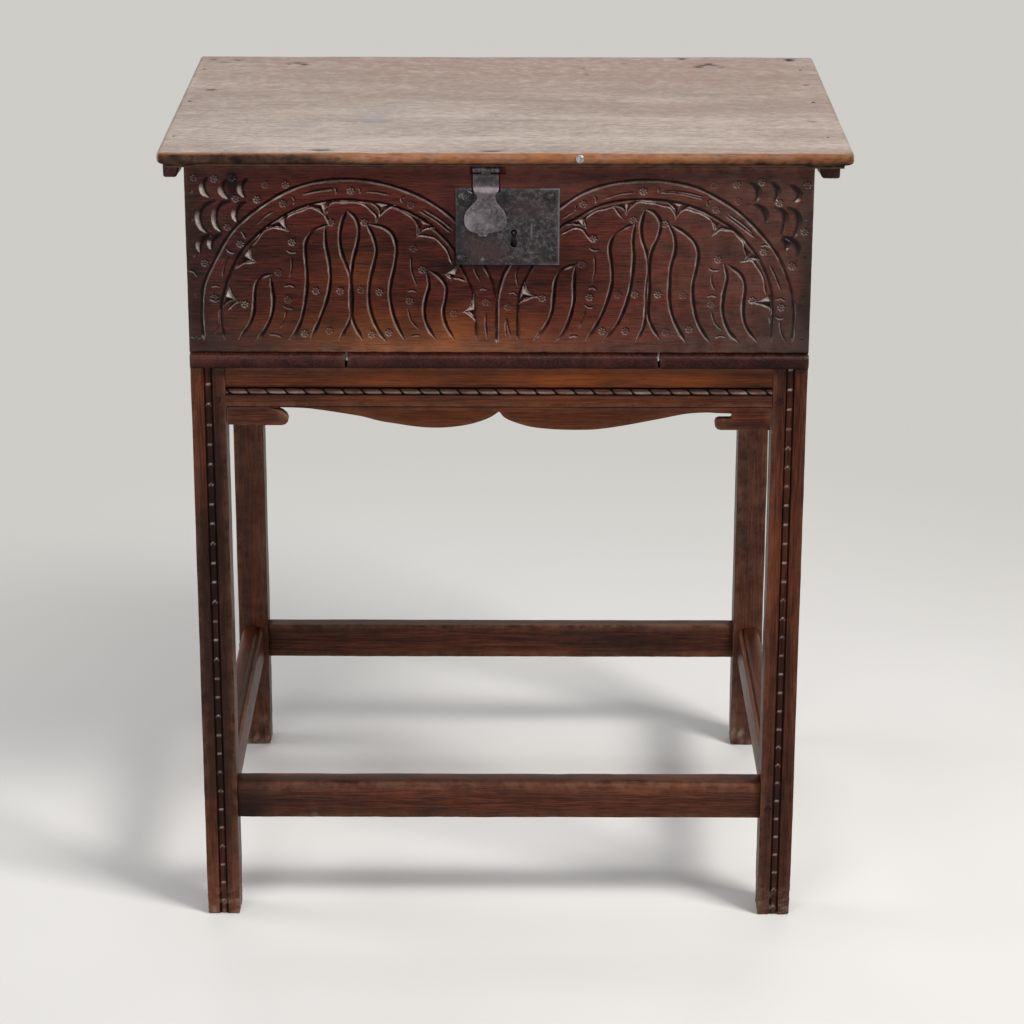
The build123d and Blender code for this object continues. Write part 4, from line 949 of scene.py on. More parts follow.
def front_board():
    """The carved front: a relief on a grid, with a rim and a plain back."""
    low, high = span("front_board")
    cell = 0.62
    xs, zs = [np.linspace(low[i], high[i], int((high[i] - low[i]) / cell) + 1) for i in (0, 2)]
    relief = Relief(xs, zs)
    carve(relief, LEFT, -1)
    carve(relief, RIGHT, 1)
    across, up = np.meshgrid(xs, zs)
    flat = np.stack([across.ravel(), np.zeros(across.size), up.ravel()], 1)

    def waves(scale, seed):
        return wobble(flat, scale, seed).reshape(across.shape)

    depth = relief.depth + uneven(flat, 61, (0.14, 120.0), (0.05, (36.0, 9.0, 9.0))).reshape(across.shape)
    out = np.minimum(np.minimum(across - low[0], high[0] - across), np.minimum(up - low[2], high[2] - up))
    arris_round = 1.5 * (1 + 0.5 * waves(14.0, 63))
    depth += arris_round * (1 - np.sqrt(1 - np.clip(1 - out / arris_round, 0, 1) ** 2))
    for x0, x1, z0, z1, deep in BEDS:
        bed = (across > x0) & (across < x1) & (up > z0) & (up < z1)
        depth = np.where(bed, np.maximum(depth, deep), depth)
    depth = np.minimum(depth, high[1] - low[1] - 0.6)
    x0, x1, leaf_z = LEAF_BED
    up = np.where((across > x0) & (across < x1), np.minimum(up, leaf_z), up)
    points = np.stack([across, low[1] + depth, up], -1).reshape(-1, 3)
    index = np.arange(len(points)).reshape(across.shape)
    faces = np.stack([index[:-1, :-1], index[:-1, 1:], index[1:, 1:], index[1:, :-1]], -1)
    faces = faces.reshape(-1, 4).tolist()
    rim = np.concatenate([index[0, :], index[1:, -1], index[-1, -2::-1], index[-2:0:-1, 0]])
    count = len(rim)
    back = len(points) + np.arange(count)
    points = np.vstack([points, points[rim] * (1, 0, 1) + (0, high[1], 0)])
    faces += np.stack([np.roll(rim, -1), rim, back, np.roll(back, -1)], 1).tolist()
    faces.append(back.tolist())
    # Painted light and shade: lit is how much each carved slope faces a light from above and to the right,
    # turn leaning it further to the right.
    rise_z, rise_x = np.gradient(relief.depth, xs[1] - xs[0])
    lit = (1.10 * relief.turn - 0.35) * rise_x + (0.94 - 0.29 * relief.turn) * rise_z
    blotch = 0.75 + 0.45 * waves(60.0, 65)
    field = np.exp(-((np.abs(across) - 160) / 75.0) ** 2 - ((up - 705) / 55.0) ** 2)
    low_middle = bump_at(across + 85, 145.0) * smooth_step(up, 688, 626)
    rubbed = bump_at(across + 75, 150.0) * smooth_step(up, 645, 628)
    border = np.exp(-np.clip(out, 0, None) / 9.0) * (up < high[2] - 20) * (1 - 0.9 * rubbed)
    edge = 0.8 * np.exp(-np.clip(out, 0, None) / 2.4)
    edge += (0.10 * smooth_step(across, 20, 260) + 0.04 * smooth_step(across, -60, 20)) * (0.8 + 0.4 * blotch)
    warm = (0.10 * field + low_middle) * blotch + stains(across, up, [(-142, 706, 28, 18, 0.35)])
    soil = 0.35 * border + stains(across, up, BOARD_STAINS) + 0.18 * smooth_step(across, 200, 300)
    soil += 0.2 * smooth_step(across, 0, -60) * smooth_step(up, 650, 680)
    # Painted shade on the slopes turned away from that light, and the darkening laid in the cuts, which is
    # mostly painted shade too.
    soil += 0.85 * smooth_step(-lit, 0.08, 0.55) + relief.soil
    # The pale line along each cut is kept only on slopes turned to the light, as a painted highlight.
    line = smooth_step(relief.near, 0.25, 0.45) * smooth_step(relief.near, 1.0, 0.82)
    bare = np.clip(relief.bare, 0, 1) * line * smooth_step(lit, 0.0, 0.4) * (0.78 + 0.32 * waves(16.0, 64))
    film = 0.030 * rubbed + 0.034 * smooth_step(across, 60, 280) + 0.022 * smooth_step(up, 665, 635)
    film += 0.015 * smooth_step(across, -220, -300)
    film += stains(across, up, [(60, 795, 70, 22, 0.025), (-30, 795, 50, 22, 0.015)])
    dress("front_board", points, faces, BOX_WOOD, carved_oak, flat=count + 1, ending="_carved",
          edge=np.append(edge, np.full(count, 0.3)), warm=warm, soil=soil, cut=np.clip(bare, 0, 1) + film)


# ---------------------------------------------------------------- lock plate and hasp

HASP_X = -13.0
BARREL = (0.4, 811.8)      # Y and Z of the hinge
KEY = (14.5, 748.2)
NAILS = [(-33.2, 783.4), (50.8, 784.1), (-37.5, 722.4), (51.7, 723.3)]
NAIL_SIZES = [(8.4, 8.652), (4.3, 4.0), (5.0, 3.6), (4.0, 3.8)]     # half width and half height of each head
NAIL_RINGS = [(1.0, 0.0), (0.97, 0.35), (0.82, 0.72), (0.5, 0.95), (0.2, 1.03)]
# The first nail sits on a worn round boss.
BOSS_RINGS = [(1.0, 0.0), (0.96, 0.4), (0.85, 0.95), (0.68, 1.35), (0.50, 1.55), (0.42, 1.95), (0.28, 2.35),
              (0.12, 2.5)]
PLATE_FACE = -1.75         # Y under the nail heads
PLATE_PITS = 170
JOGGLE = 3.0               # how far the hasp's pad stands out from its upper end
HASP_FACE = -1.4           # Y of the upper end's face
HASP_THICK = 2.2
KNUCKLE_RADIUS = 3.45
KNUCKLE_HALF = 4.85        # half its length
PIN_BORE = 1.62            # radius


def lock_plate():
    """The plate with its keyhole, open at the top for the hasp and its staple."""
    low, high = span("lock_plate")
    outline = [(low[0], low[2]), (high[0], low[2]), (high[0], high[2]), (1.0, high[2]), (1.0, 789.0),
               (-9.4, 789.0), (-9.4, 752.6), (-16.6, 752.6), (-16.6, 789.0), (-27.0, 789.0),
               (-27.0, high[2]), (low[0], high[2])]
    half_slot = [(2.2, 5.0), (3.4, 11.6), (3.0, 13.6), (1.2, 14.9)]
    key = arc(KEY, (3.2, 3.2), -0.72, math.pi + 0.72, 20)
    key += [(KEY[0] - x, KEY[1] - z) for x, z in half_slot]
    key += [(KEY[0] + x, KEY[1] - z) for x, z in reversed(half_slot)]
    rng = np.random.default_rng(5)
    spread = [(low[0], high[0]), (low[2], high[2]), (0.6, 2.2), (0.05, 0.22)]     # X, Z, size, depth
    pits = [[rng.uniform(*ends) for ends in spread] for _ in range(PLATE_PITS)]
    pits = [(x, z, size, size, deep) for x, z, size, deep in pits]

    def place(spots, depth):
        return upright(spots, low[1] + depth)

    def surface(spots, far):
        x, z = spots.T
        sunk = uneven(upright(spots), 71, (0.13, 30.0), (0.05, 6.0)) + stains(x, z, pits)
        for nail_x, nail_z in NAILS:
            away = np.hypot(x - nail_x, z - nail_z)
            sunk = sunk * smooth_step(away, 4.0, 9.0) + 0.16 * bump_at(away - 5.0, 1.2)
        return sunk + stains(x, z, [(13.3, 724.1, 1.2, 1.2, 0.45)])

    thick = high[1] - low[1]
    points, faces, far, count = sheet_mesh([outline, key], place, 0.5, 0.9, 1.2,
                                           surface, [(0.0, thick - 0.5), (0.5, thick)])
    x, z = points[:count, 0], points[:count, 2]
    edge = 1.1 * np.exp(-far / 0.9) * (0.2 + 0.8 * (x > 40)) + stains(x, z, [(-16.5, 721.2, 1.4, 1.4, 1.0)])
    edge += 0.5 * bump_at(x - 32, 0.7) * (np.abs(z - 750) < 8)
    # Darker patches of dirt and patina; the broad patch about the hasp's pad, the one right of its neck and
    # the rings about the three plain nail heads are painted shadow.
    soil = stains(x, z, [(-41, 745, 7, 30, 0.6), (-18, 768, 22, 24, 0.5), (0, 717, 60, 4, 0.4),
                         (14.5, 742, 8, 12, 0.4), (5, 783, 7, 9, 0.8), (-40, 722, 12, 8, 0.4)]
                  + [(*nail, 6.5, 6.0, 0.8) for nail in NAILS[1:]])
    rust = stains(x, z, [(-15, 730, 26, 14, 1.0), (35, 770, 20, 16, 0.5), (10, 772, 14, 10, 0.4)])
    dress("lock_plate", points, faces, ("box", "lock_iron"), plate_iron, flat=0, edge=edge, soil=soil,
          warm=rust)


def pin_mesh(rings, tip):
    """A closed round piece: a flat foot, rings of equal size and a tip."""
    count = len(rings[0])
    points = np.vstack([*rings, tip])
    faces = ring_faces(len(rings), count) + [list(range(count))[::-1]]
    last = len(points) - 1
    faces += [[last - count + i, last - count + (i + 1) % count, last] for i in range(count)]
    return points, facing_out(points, faces)


def ring_at(angles, centre, across, up, y):
    """A ring that faces the viewer, about an X and Z."""
    return np.stack([centre[0] + across * np.cos(angles), y + 0 * angles, centre[1] + up * np.sin(angles)], 1)


def nail_heads():
    """Hammered nail heads on the lock plate, each a little different."""
    angles = np.arange(18) * 2 * math.pi / 18
    parts = []
    for i, (nail, (wide, tall)) in enumerate(zip(NAILS, NAIL_SIZES)):
        profile = NAIL_RINGS if i else BOSS_RINGS
        hand = 1 + 0.06 * np.sin(angles * 3 + i) + 0.05 * np.sin(angles * 5 + 2 * i)
        rings = [ring_at(angles, nail, 1.3, 1.3, y) for y in (9.0, -1.7)]
        for share, rise in profile:
            rough = rise * (1 + 0.10 * np.sin(angles * 4 + 3 * i) * (share < 0.9))
            rings.append(ring_at(angles, nail, wide * share * hand, tall * share * hand, PLATE_FACE - rough))
        parts.append(pin_mesh(rings, (nail[0], PLATE_FACE - profile[-1][1], nail[1])))
    points, faces = join_meshes(parts)
    dress("lock_plate_nails", points, faces, ("box", "nail_iron"), nail_iron, flat=0,
          edge=0.15 * smooth_step(-points[:, 1], 3.6, 4.1))


def tube_mesh(centre, radius, bore, start, end, sides=28):
    """A rolled knuckle along X."""
    angles = np.arange(sides) * 2 * math.pi / sides
    profile = [(radius - 0.35, start), (radius, start + 0.35), (radius, end - 0.35), (radius - 0.35, end),
               (bore, end), (bore, start)]
    rings = [np.stack([x + 0 * angles, centre[0] + r * np.cos(angles), centre[1] + r * np.sin(angles)], 1)
             for r, x in profile]
    points = np.vstack(rings)
    faces = (np.array(ring_faces(len(profile) + 1, sides)) % len(points)).tolist()
    return points, facing_out(points, faces)


def hasp():
    """The hasp: a joggled plate that ends in a pear-shaped pad, and its knuckle."""
    left = spline([(-21.9, 787.0), (-21.9, 784.5), (-22.9, 781.0), (-28.3, 775.2), (-32.6, 770.3),
                   (-34.4, 765.3), (-34.4, 760.3), (-33.6, 755.6), (-30.4, 751.6), (-26.4, 749.3),
                   (-20.9, 748.0)], 1.2)
    right = spline([(-11.2, 748.2), (-6.0, 748.9), (-1.7, 750.0), (3.3, 752.0), (6.6, 755.8), (7.6, 760.5),
                    (6.8, 766.0), (4.4, 771.0), (0.2, 775.8), (-3.0, 780.6), (-3.6, 784.5),
                    (-3.6, 787.0)], 1.2)
    outline = [(-17.8, 811.8), (-17.8, 807.6), (-25.8, 807.6), (-25.8, 800.0), (-25.6, 792.0),
               (-24.2, 789.2), *left, (-20.6, 746.0), (-19.6, 745.0), (-12.6, 745.0), (-11.6, 746.0),
               *right, (-2.0, 789.2), (-0.4, 792.0), (-0.2, 800.0), (-0.2, 807.6), (-8.2, 807.6),
               (-8.2, 811.8)]

    def place(spots, depth):
        out = JOGGLE * smooth_step(794.2 - spots[:, 1], 0, 4.6)
        out = np.where(depth > HASP_THICK / 2, JOGGLE * np.clip((794.0 - spots[:, 1]) / 4.5, 0, 1), out)
        return upright(spots, HASP_FACE - out + depth)

    def surface(spots, far):
        bevel = 0.35 * np.exp(-far / 1.6) * (spots[:, 1] < 786)
        return uneven(upright(spots), 81, (0.08, 12.0), (0.03, 3.0)) + bevel

    points, faces, far, count = sheet_mesh([outline], place, 0.5, 0.8, 1.0, surface,
                                           [(0.0, HASP_THICK - 0.5), (0.5, HASP_THICK)])
    x, z = points[:count, 0], points[:count, 2]
    edge = 0.35 * np.exp(-far / 0.8)
    # Paler where rubbed; the band across the joggle and the patch on the pad's lower left rim are painted
    # highlights.
    edge += stains(x, z, [(-10, 756, 5, 3, 0.4), (-20, 764, 9, 6, 0.3), (-13, 792.3, 13, 2.2, 0.85),
                          (-31, 757, 5, 9, 0.5)])
    soil = stains(x, z, [(-13, 801, 18, 4.5, 0.8), (-13, 784, 8, 2.5, 0.2), (-3, 763, 7, 9, 0.45)])
    # A dark line on the strap just under the knuckle, as its painted shadow.
    soil += 0.9 * bump_at(z - 807.2, 1.1)
    knuckle = tube_mesh(BARREL, KNUCKLE_RADIUS, PIN_BORE, HASP_X - KNUCKLE_HALF, HASP_X + KNUCKLE_HALF)
    points, faces = join_meshes([(points, faces), knuckle])
    dress("hasp", points, faces, ("hasp", "lock_iron"), hasp_iron, flat=0, edge=edge, soil=soil)


# ---------------------------------------------------------------- apron

def apron():
    """The fretted board under the front rail: two lobes between two brackets."""
    lobes = spline([(-231.6, 565.2), (-215, 565.5), (-195, 564.8), (-180, 563), (-163.8, 560.6),
                    (-138.8, 556.3), (-120, 551.3), (-100, 548), (-84, 545.6), (-67.5, 544.4), (-50, 545),
                    (-32.5, 547.5), (-18, 551.6), (-8, 556), (-0.5, 561.2)], 2.5)
    rest = spline([(0.5, 561.2), (5, 555.6), (15, 550.6), (33.8, 545.2), (58.8, 542.8), (83.8, 542.4),
                   (100, 543.2), (125, 546.9), (160, 553.8), (187.5, 559.4), (208.8, 561), (220, 560.4),
                   (233.5, 560)], 2.5)
    outline = [(-274.2, 567.0), (-274.2, 547.2), (-245, 546.7), (-219.5, 546.7), (-215.8, 547.6),
               (-213.2, 550.2), (-212.6, 553.6), (-214.4, 557.6), (-218.4, 561.0), (-223.5, 563.2),
               (-229.0, 564.4), *lobes, *rest, (235, 558.6), (235, 555.4), (233.5, 554.1), (222, 554.0),
               (219.0, 552.6), (217.7, 549.4), (218.4, 545.6), (220.8, 543.2), (224, 542.6), (250, 542.5),
               (274.2, 542.6), (274.2, 567.0)]
    low, high = span("apron")
    thick = high[1] - low[1]

    def place(spots, depth):
        return upright(spots, low[1] + depth)

    def surface(spots, far):
        return uneven(upright(spots), 91, (0.16, 60.0), (0.05, 9.0))

    points, faces, far, count = sheet_mesh([outline], place, 1.3, 5.0, 2.5, surface,
                                           [(0.0, thick - 0.8), (0.8, thick)])
    x, z = points[:count, 0], points[:count, 2]
    edge = 0.7 * np.exp(-far / 1.8) * (z < 566)
    edge += stains(x, z, [(-216, 556, 7, 5, 0.9), (222, 549, 7, 5, 0.5)])
    dress("apron", points, faces, STAND_WOOD, stand_oak[0], flat=0, edge=edge,
          warm=stains(x, z, [(-60, 555, 110, 14, 0.4), (110, 552, 90, 9, 0.3)]))


# ---------------------------------------------------------------- box boards and lid

# Nail holes and cracks in the lid's top: X, Y, half width, half depth, strength.
LID_HOLES = [(-307, 277, 4.5, 3.0, 0.9), (-180, 460, 2.5, 2.5, 0.8), (201, 445, 3.0, 3.0, 0.6),
             (320, 442, 4.0, 6.0, 1.0), (-224, 421, 6.0, 3.0, 0.5), (-216, 412, 4.0, 3.5, 0.6),
             (-233, 415, 3.0, 3.0, 0.4), (217, 402, 5.0, 3.5, 0.6), (222, 410, 4.0, 3.5, 0.5),
             (229, 416, 4.0, 3.5, 0.7), (235, 409, 4.0, 3.0, 0.5), (242, 401, 4.0, 2.5, 0.4),
             (318, 129, 4.0, 2.0, 0.4), (326, 308, 3.0, 3.0, 0.5), (-174, -3, 12.0, 3.0, 0.5),
             (-8, -7, 10.0, 3.0, 0.45), (-13, 59, 7.0, 1.5, 0.3), (135, 419, 5.0, 2.0, 0.35),
             (90, 392, 2.0, 7.0, 0.25), (93, 360, 2.0, 8.0, 0.25), (-306, 421, 9.0, 2.0, 0.35),
             (-292, 434, 6.0, 2.5, 0.35), (-318, 438, 5.0, 3.0, 0.3)]
# Browner patches on it, and a greyer one at the front.
LID_PATCHES = [(169, 177, 60, 28, 0.5), (60, 215, 70, 18, 0.35), (-60, 330, 130, 60, 0.35),
               (180, 330, 110, 60, 0.35), (-250, 60, 50, 30, 0.2), (300, 250, 40, 150, 0.3),
               (0, 430, 300, 30, 0.4), (-130, 250, 60, 25, 0.25), (0, 385, 150, 40, 0.45),
               (-250, 300, 50, 60, 0.2), (-180, 40, 220, 100, -0.55)]
# Dark marks on it, like those of ink.
LID_BLOOM = [(-129, 140, 18, 30, 0.62), (-204, 107, 20, 14, 0.62), (-110, 190, 40, 20, 0.2)]
# The moulded edge of the lid, as the (inset, depth) of its rings.
LID_EDGE = [(0.0, 6.6), (0.0, 9.2), (0.6, 11.0), (2.6, 12.3), (5.6, 13.0), (8.6, 13.5), (9.0, 15.0)]


def floor_board(node, seed):
    """A bottom board: its end shows in front as a rounded nose."""
    low, high = span(node)
    nose, heel, plain = 5.6, 2.2, low[1] + 30
    section = arc((low[1] + nose, high[2] - nose), (-nose, nose), 0.05, QUARTER, 8)
    section += [(y, high[2]) for y in np.linspace(plain, high[1], 9)]
    section += [(y, low[2]) for y in np.linspace(high[1], plain, 9)]
    section += arc((low[1] + heel, low[2] + heel), (-heel, -heel), QUARTER, 0.1, 5) + [(low[1], low[2] + 5.0)]
    places = np.linspace(low[0], high[0], int((high[0] - low[0]) / 5.0) + 1)
    points, faces = sweep_mesh(section, places, 0, end_round=0.9)
    near = np.exp(-(points[:, 1] - low[1]) / 12.0)
    points = push_in(points, faces, 0.12 + 0.3 * near * uneven(points, seed, (1.0, 26.0)))
    side = np.minimum(points[:, 0] - low[0], high[0] - points[:, 0])
    # A band near the top of the nose is a painted highlight, and the darkening towards its underside is
    # painted shade; its ends are worn paler.
    edge = near * (0.25 * bump_at(points[:, 2] - high[2] + 2.5, 1.5) + 0.7 * np.exp(-side / 2.0))
    dress(node, points, faces, BOX_WOOD, dark_oak, edge=edge,
          soil=0.8 * np.exp(-(points[:, 2] - low[2]) / 4.5))


def box_ring(half, corner, counts):
    """A rectangle with rounded corners about (0, 0); rings with the same counts have as many points."""
    r = min(corner, *half)
    a, b = half - r
    centres = np.array([(a, -b), (a, b), (-a, b), (-a, -b)])
    points = []
    for i, count in enumerate(counts):
        start = (i - 1) * QUARTER
        t = np.linspace(0, 1, count, endpoint=False)[1:, None]
        straight = centres[i - 1] * (1 - t) + centres[i] * t
        points.append(straight + (r * math.cos(start), r * math.sin(start)))
        points.append(arc(centres[i], (r, r), start, start + QUARTER, 5))
    return np.vstack(points)


def board(node, thick_axis, material, seed, round_edge):
    """A worn board of the box: rounded arrises, and faces that are not quite flat."""
    low, high = span(node)
    size = high - low
    thick = size[thick_axis]
    others = [axis for axis in range(3) if axis != thick_axis]
    half = size[others] / 2
    counts = [max(2, int(2 * reach / 9.0)) for reach in (*half, *half)]
    insets = [min(half) * 0.94 * share for share in (1.0, 0.8, 0.6, 0.42, 0.28, 0.16)]
    top = [(inset, 0.0) for inset in (*insets, round_edge * 1.6)]
    top += [(round_edge * (1 - math.sin(a)), round_edge * (1 - math.cos(a)))
            for a in np.linspace(0, QUARTER, 5)]
    sides = [(0.0, thick * share) for share in (0.35, 0.6)]
    rings = []
    for inset, fall in top + sides + [(inset, thick - fall) for inset, fall in reversed(top)]:
        flat = box_ring(half - inset, max(2.0 - inset, 0.3), counts)
        ring = np.full((len(flat), 3), thick / 2 - fall)
        ring[:, others] = flat
        rings.append(ring + (low + high) / 2)
    points, faces = tower(rings)
    rough = smooth_step(wobble(points, 40.0, seed + 2), 0.1, 0.9)
    amount = uneven(points, seed, (0.175, 90.0), (0.12, 11.0))
    amount *= 1 + 2.0 * arris(points, low, high, 2.5) * rough
    points = push_in(points, faces, amount)
    dress(node, points, faces, BOX_WOOD, material, edge=arris(points, low, high, 3.5))


def lid_board():
    """The lid's one wide board, moulded along three edges and worn on top."""
    low, high = span("lid_board")
    (left, front, _), (right, rear, _) = low, high
    thick = high[2] - low[2]
    r, clip = 9.0, 2.0
    outline = arc((left + r, front + r), (-r, -r), 0, QUARTER, 9)
    outline += arc((right - r, front + r), (r, r), -QUARTER, 0, 9)
    outline += [(right, rear - clip), (right - clip, rear), (left + clip, rear), (left, rear - clip)]

    def place(spots, depth):
        return np.column_stack([spots, high[2] - depth])

    def surface(spots, far):
        flat = np.column_stack([spots, np.zeros(len(spots))])
        sunk = uneven(flat, 101, (0.3, 170.0), (0.1, (16.0 / 0.3, 16.0, 16.0)))
        sunk += 1.6 * stains(*spots.T, LID_HOLES)
        return np.clip(sunk, 0, 2.5)

    def inset_share(spots):
        between = smooth_step(np.abs(spots[:, 0]), 306, 298) * smooth_step(spots[:, 1], front + 8, front + 1)
        return 1 + 0.74 * between - 0.93 * smooth_step(spots[:, 1], rear - 12, rear - 3)

    points, faces, _, _ = sheet_mesh([outline], place, 4.6, 3.0, 5.0, surface,
                                     LID_EDGE + [(9.1, thick)], inset_share)
    x, y = points[:, 0], points[:, 1]
    fall = high[2] - points[:, 2]
    top = fall < 2.5
    below = fall > thick - 0.5
    end = np.minimum(x - left, right - x)
    ragged = 1 + 0.35 * wobble(points, 35.0, 103) + 0.25 * wobble(points, 7.0, 104)
    at_end = 1 - smooth_step(y, front + 7, front + 4)
    side = smooth_step(fall * ragged, 0.3 + 5.0 * at_end, 1.3 + 7.0 * at_end)
    side *= (y < rear - 6) * (np.minimum(end, y - front) < 20) * ~below
    side *= np.where(end > y - front - 2, 1.0, np.where(x < 0, 0.15, 0.6))
    warm = np.where(below, 0.9, np.clip(side * 1.5, 0, 1) * (1 - 0.15 * smooth_step(x, -110, -220)))
    # On the moulded edges, the under-bevel is painted dark as a shadow line and the lower half of the edge is
    # painted shade; the edge is also darker towards both ends and in flecks, the underside is darker, and the
    # nail holes are dark.
    soil = smooth_step(fall, 10.6, 11.8) + smooth_step(x, -120, -210) * smooth_step(fall, 0.5, 3.5)
    soil += 0.3 * smooth_step(x, 120, 300) + 0.42 * smooth_step(fall, 4.0, 9.0)
    soil += 0.25 * smooth_step(wobble(points, 9.0, 105, octaves=4), 0.1, 0.6)
    soil = side * soil + 0.6 * below + 2.6 * stains(x, y, LID_HOLES) * (fall < 4)
    patches = stains(x, y, LID_PATCHES) + 0.52 * smooth_step(y, 60, 460) + 0.16
    patches -= 0.6 * bump_at(x - left - 4, 4.0)
    dress("lid_board", points, faces, LID_WOOD, lid_oak, flat=below.sum() - 2, warm=warm, soil=soil,
          edge=patches * top, cut=stains(x, y, LID_BLOOM) * top)


def cleat(node, seed):
    """A cleat under the end of the lid, worn round at its front end."""
    low, high = span(node)
    outwards = -1 if low[0] < 0 else 1
    bend = low[1] + 60
    places = np.concatenate([np.arange(low[1], bend, 4.0), np.arange(bend, high[1], 12.0), [high[1]]])
    section = rounded_rect((low[0], low[2]), (high[0], high[2]), (3.4, 3.4, 0.6, 0.6), 4.0)
    points, faces = sweep_mesh(section, places, 1, end_round=2.4)
    share = (high[2] - points[:, 2]) / (high[2] - low[2])
    inner = low[0] if outwards > 0 else high[0]
    from_outer = 1 - np.abs(points[:, 0] - inner) / (high[0] - low[0])
    points[:, 0] += outwards * 4.5 * share * np.clip(from_outer, 0, 1)
    points[:, 2] += 4.5 * smooth_step(points[:, 1], low[1] + 54, low[1]) * share
    points = push_in(points, faces, uneven(points, seed, (0.25, 40.0)) * (share > 0.1))
    dress(node, points, faces, LID_WOOD, dark_oak, edge=arris(points, low, high, 3.5) * 0.4)


def stud():
    """The iron stud in the lid's front edge."""
    low, high = span("lid_stud")
    centre = ((low[0] + high[0]) / 2, (low[2] + high[2]) / 2)
    front = low[1]
    angles = np.arange(26) * 2 * math.pi / 26
    profile = [(1.6, 14.0), (1.6, 2.4), (4.6, 1.75), (4.7, 1.45), (4.2, 0.75), (3.0, 0.25), (1.4, 0.04)]
    rings = [ring_at(angles, centre, r, r * 0.97, front + back + 0.12 * np.sin(angles * 3 + r) * (r < 4.5))
             for r, back in profile]
    points, faces = pin_mesh(rings, (centre[0], front, centre[1]))
    points[:, 1] = np.maximum(points[:, 1], front)
    dress("lid_stud", points, faces, ("lid", "nail_iron"), stud_iron, flat=0,
          soil=(points[:, 1] - front - 0.9) * 1.2)


front_board()
lock_plate()
nail_heads()
hasp()
apron()
for i, node in enumerate(("bottom_board_left", "bottom_board_middle", "bottom_board_right")):
    floor_board(node, 111 + i)
board("side_board_left", 0, box_oak[1], 121, 1.4)
board("side_board_right", 0, box_oak[1], 124, 1.4)
board("back_board", 1, box_oak[0], 127, 1.6)
lid_board()
cleat("cleat_left", 131)
cleat("cleat_right", 132)
stud()


# ---------------------------------------------------------------- camera, lights, backdrop

SENSOR = 36.0
PICTURE = 1024             # width and height of the picture, in its pixels
FOCAL = 3195.09            # focal length in the same pixels
EYE = (14.46, -3068.31, 1540.29)
PITCH = math.radians(19.475)
ROLL = 0.00203
YAW = 0.0004
AMBIENT = 0.16
PALE = (0.62, 0.605, 0.57)
FLOOR_REACH = 9.0
FADE = (0.45, 1.5)         # from where the floor fades into the backdrop, and to where

camera_data = bpy.data.cameras.new("camera")
camera_data.sensor_width = SENSOR
camera_data.lens = FOCAL / PICTURE * SENSOR
camera_data.clip_end = 50.0
camera = add_object("camera", camera_data)
camera.matrix_world = (
    Matrix.Translation(Vector(to_row(EYE)))
    @ Matrix.Rotation(YAW, 4, "Z") @ Matrix.Rotation(QUARTER - PITCH, 4, "X") @ Matrix.Rotation(ROLL, 4, "Z")
)
bpy.context.scene.camera = camera


def lamp(name, place, target, size, power, colour=(1, 1, 1)):
    """A rectangular lamp turned to a target, both in the frame's metres."""
    data = bpy.data.lights.new(name, "AREA")
    data.shape = "RECTANGLE"
    data.size, data.size_y = size
    data.energy = power
    data.color = colour
    light = add_object(name, data)
    light.location = place
    light.rotation_euler = (Vector(target) - Vector(place)).to_track_quat("-Z", "Y").to_euler()


lamp("key", (2.6, -2.0, 3.3), (0, 0, 0.55), (1.3, 1.3), 178, (1.0, 0.98, 0.95))
lamp("fill", (-1.5, -3.4, 1.0), (0, 0, 0.4), (1.6, 1.6), 42)
lamp("side", (-2.8, 0.3, 1.8), (0, 0, 0.7), (1.2, 1.2), 24)
lamp("top", (0.1, 1.9, 2.5), (0, 0, 0.8), (2.4, 1.2), 26)
lamp("strip", (0.1, -1.5, 2.5), (0, 0, 0.6), (2.8, 0.4), 15)

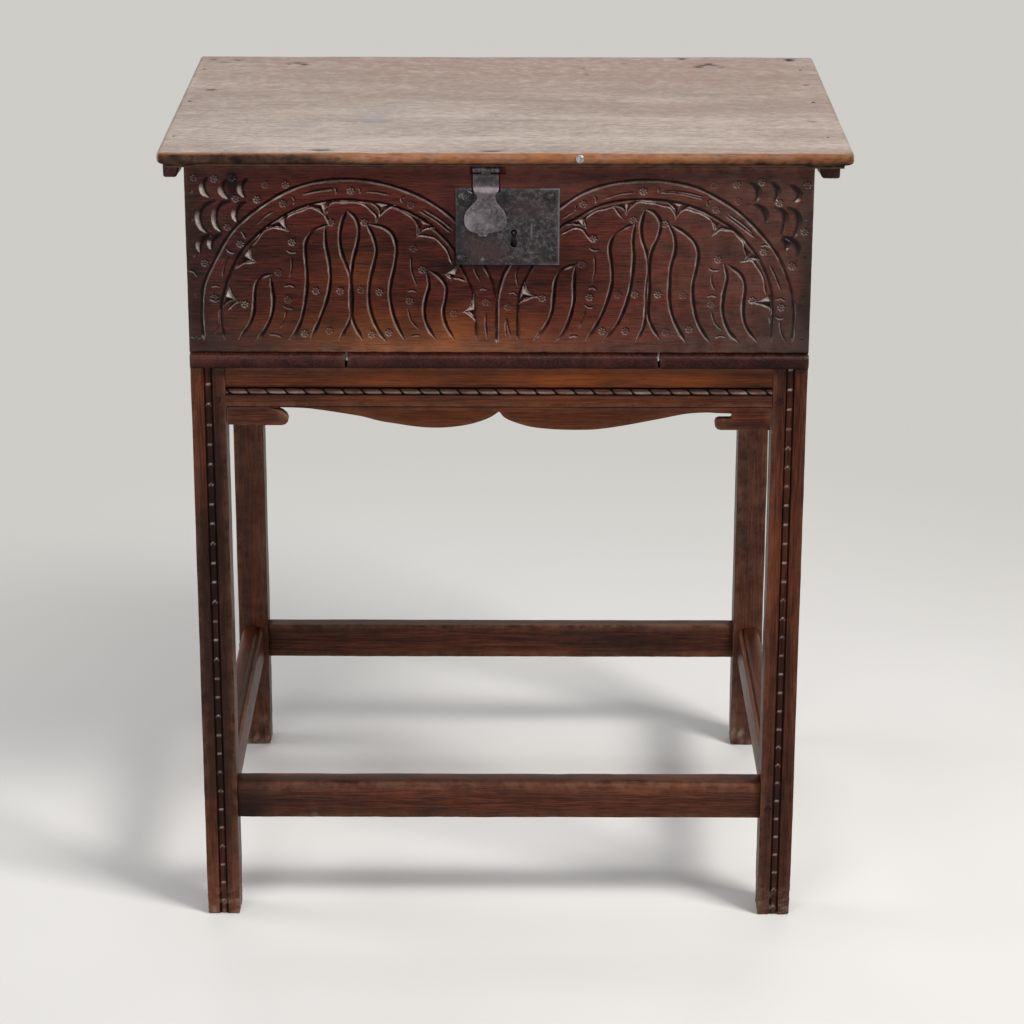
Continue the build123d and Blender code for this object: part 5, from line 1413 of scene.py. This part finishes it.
world = bpy.data.worlds.new("studio")
bpy.context.scene.world = world
world.use_nodes = True
sky = Nodes(world.node_tree)
ambient = sky.tree.nodes["Background"]
sky.feed(ambient.inputs["Color"], (1.0, 1.0, 1.0))
sky.feed(ambient.inputs["Strength"], AMBIENT)
distance = sky.add("ShaderNodeBackground", {"Color": PALE})
sky.show(sky.seen_directly(), ambient.outputs[0], distance.outputs[0], sky.tree.nodes["World Output"])

floor_look = Shading("floor_pale")
cloud = floor_look.noise((2.0, 2.0, 2.0), detail=2)
floor_look.finish(Base_Color=floor_look.ramp(cloud, (0.3, (0.70, 0.69, 0.675)), (0.7, (0.73, 0.72, 0.705))),
                  Roughness=0.8, Normal=floor_look.bump(cloud, 0.02, 0.001))
far_off = floor_look.add("ShaderNodeVectorMath", {0: floor_look.place((1.0, 1.0, 0.0))}, operation="LENGTH")
fade_values = {"Value": far_off.outputs["Value"], "From Min": FADE[0], "From Max": FADE[1]}
fade = floor_look.add("ShaderNodeMapRange", fade_values, interpolation_type="SMOOTHSTEP")
backdrop = floor_look.add("ShaderNodeEmission", {"Color": PALE})
floor_look.show(floor_look.times(fade.outputs["Result"], floor_look.seen_directly()),
                floor_look.shader.outputs[0], backdrop.outputs[0], floor_look.out)

floor_mesh = bpy.data.meshes.new("floor")
corners = [(x * FLOOR_REACH, y * FLOOR_REACH, 0) for x, y in ((-1, -1), (1, -1), (1, 1), (-1, 1))]
floor_mesh.from_pydata(corners, [], [(0, 1, 2, 3)])
floor_mesh.materials.append(floor_look.material)
floor = add_object("floor", floor_mesh)

bpy.context.scene.view_settings.view_transform = "Standard"

# CAD nodes that are shown as they are get their finish here.
FINISHES = {"pegs": dark_oak, "hasp": hasp_iron, "lock": plate_iron, "lid": lid_oak, "cleat": lid_oak,
            "leg": stand_oak[1], "rail": stand_oak[1], "stretcher": stand_oak[1]}
for node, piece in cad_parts.items():
    if not piece.hide_render:
        look = nail_iron if "nails" in node else FINISHES.get(node.split("_")[0], box_oak[0])
        piece.data.materials.clear()
        piece.data.materials.append(look)
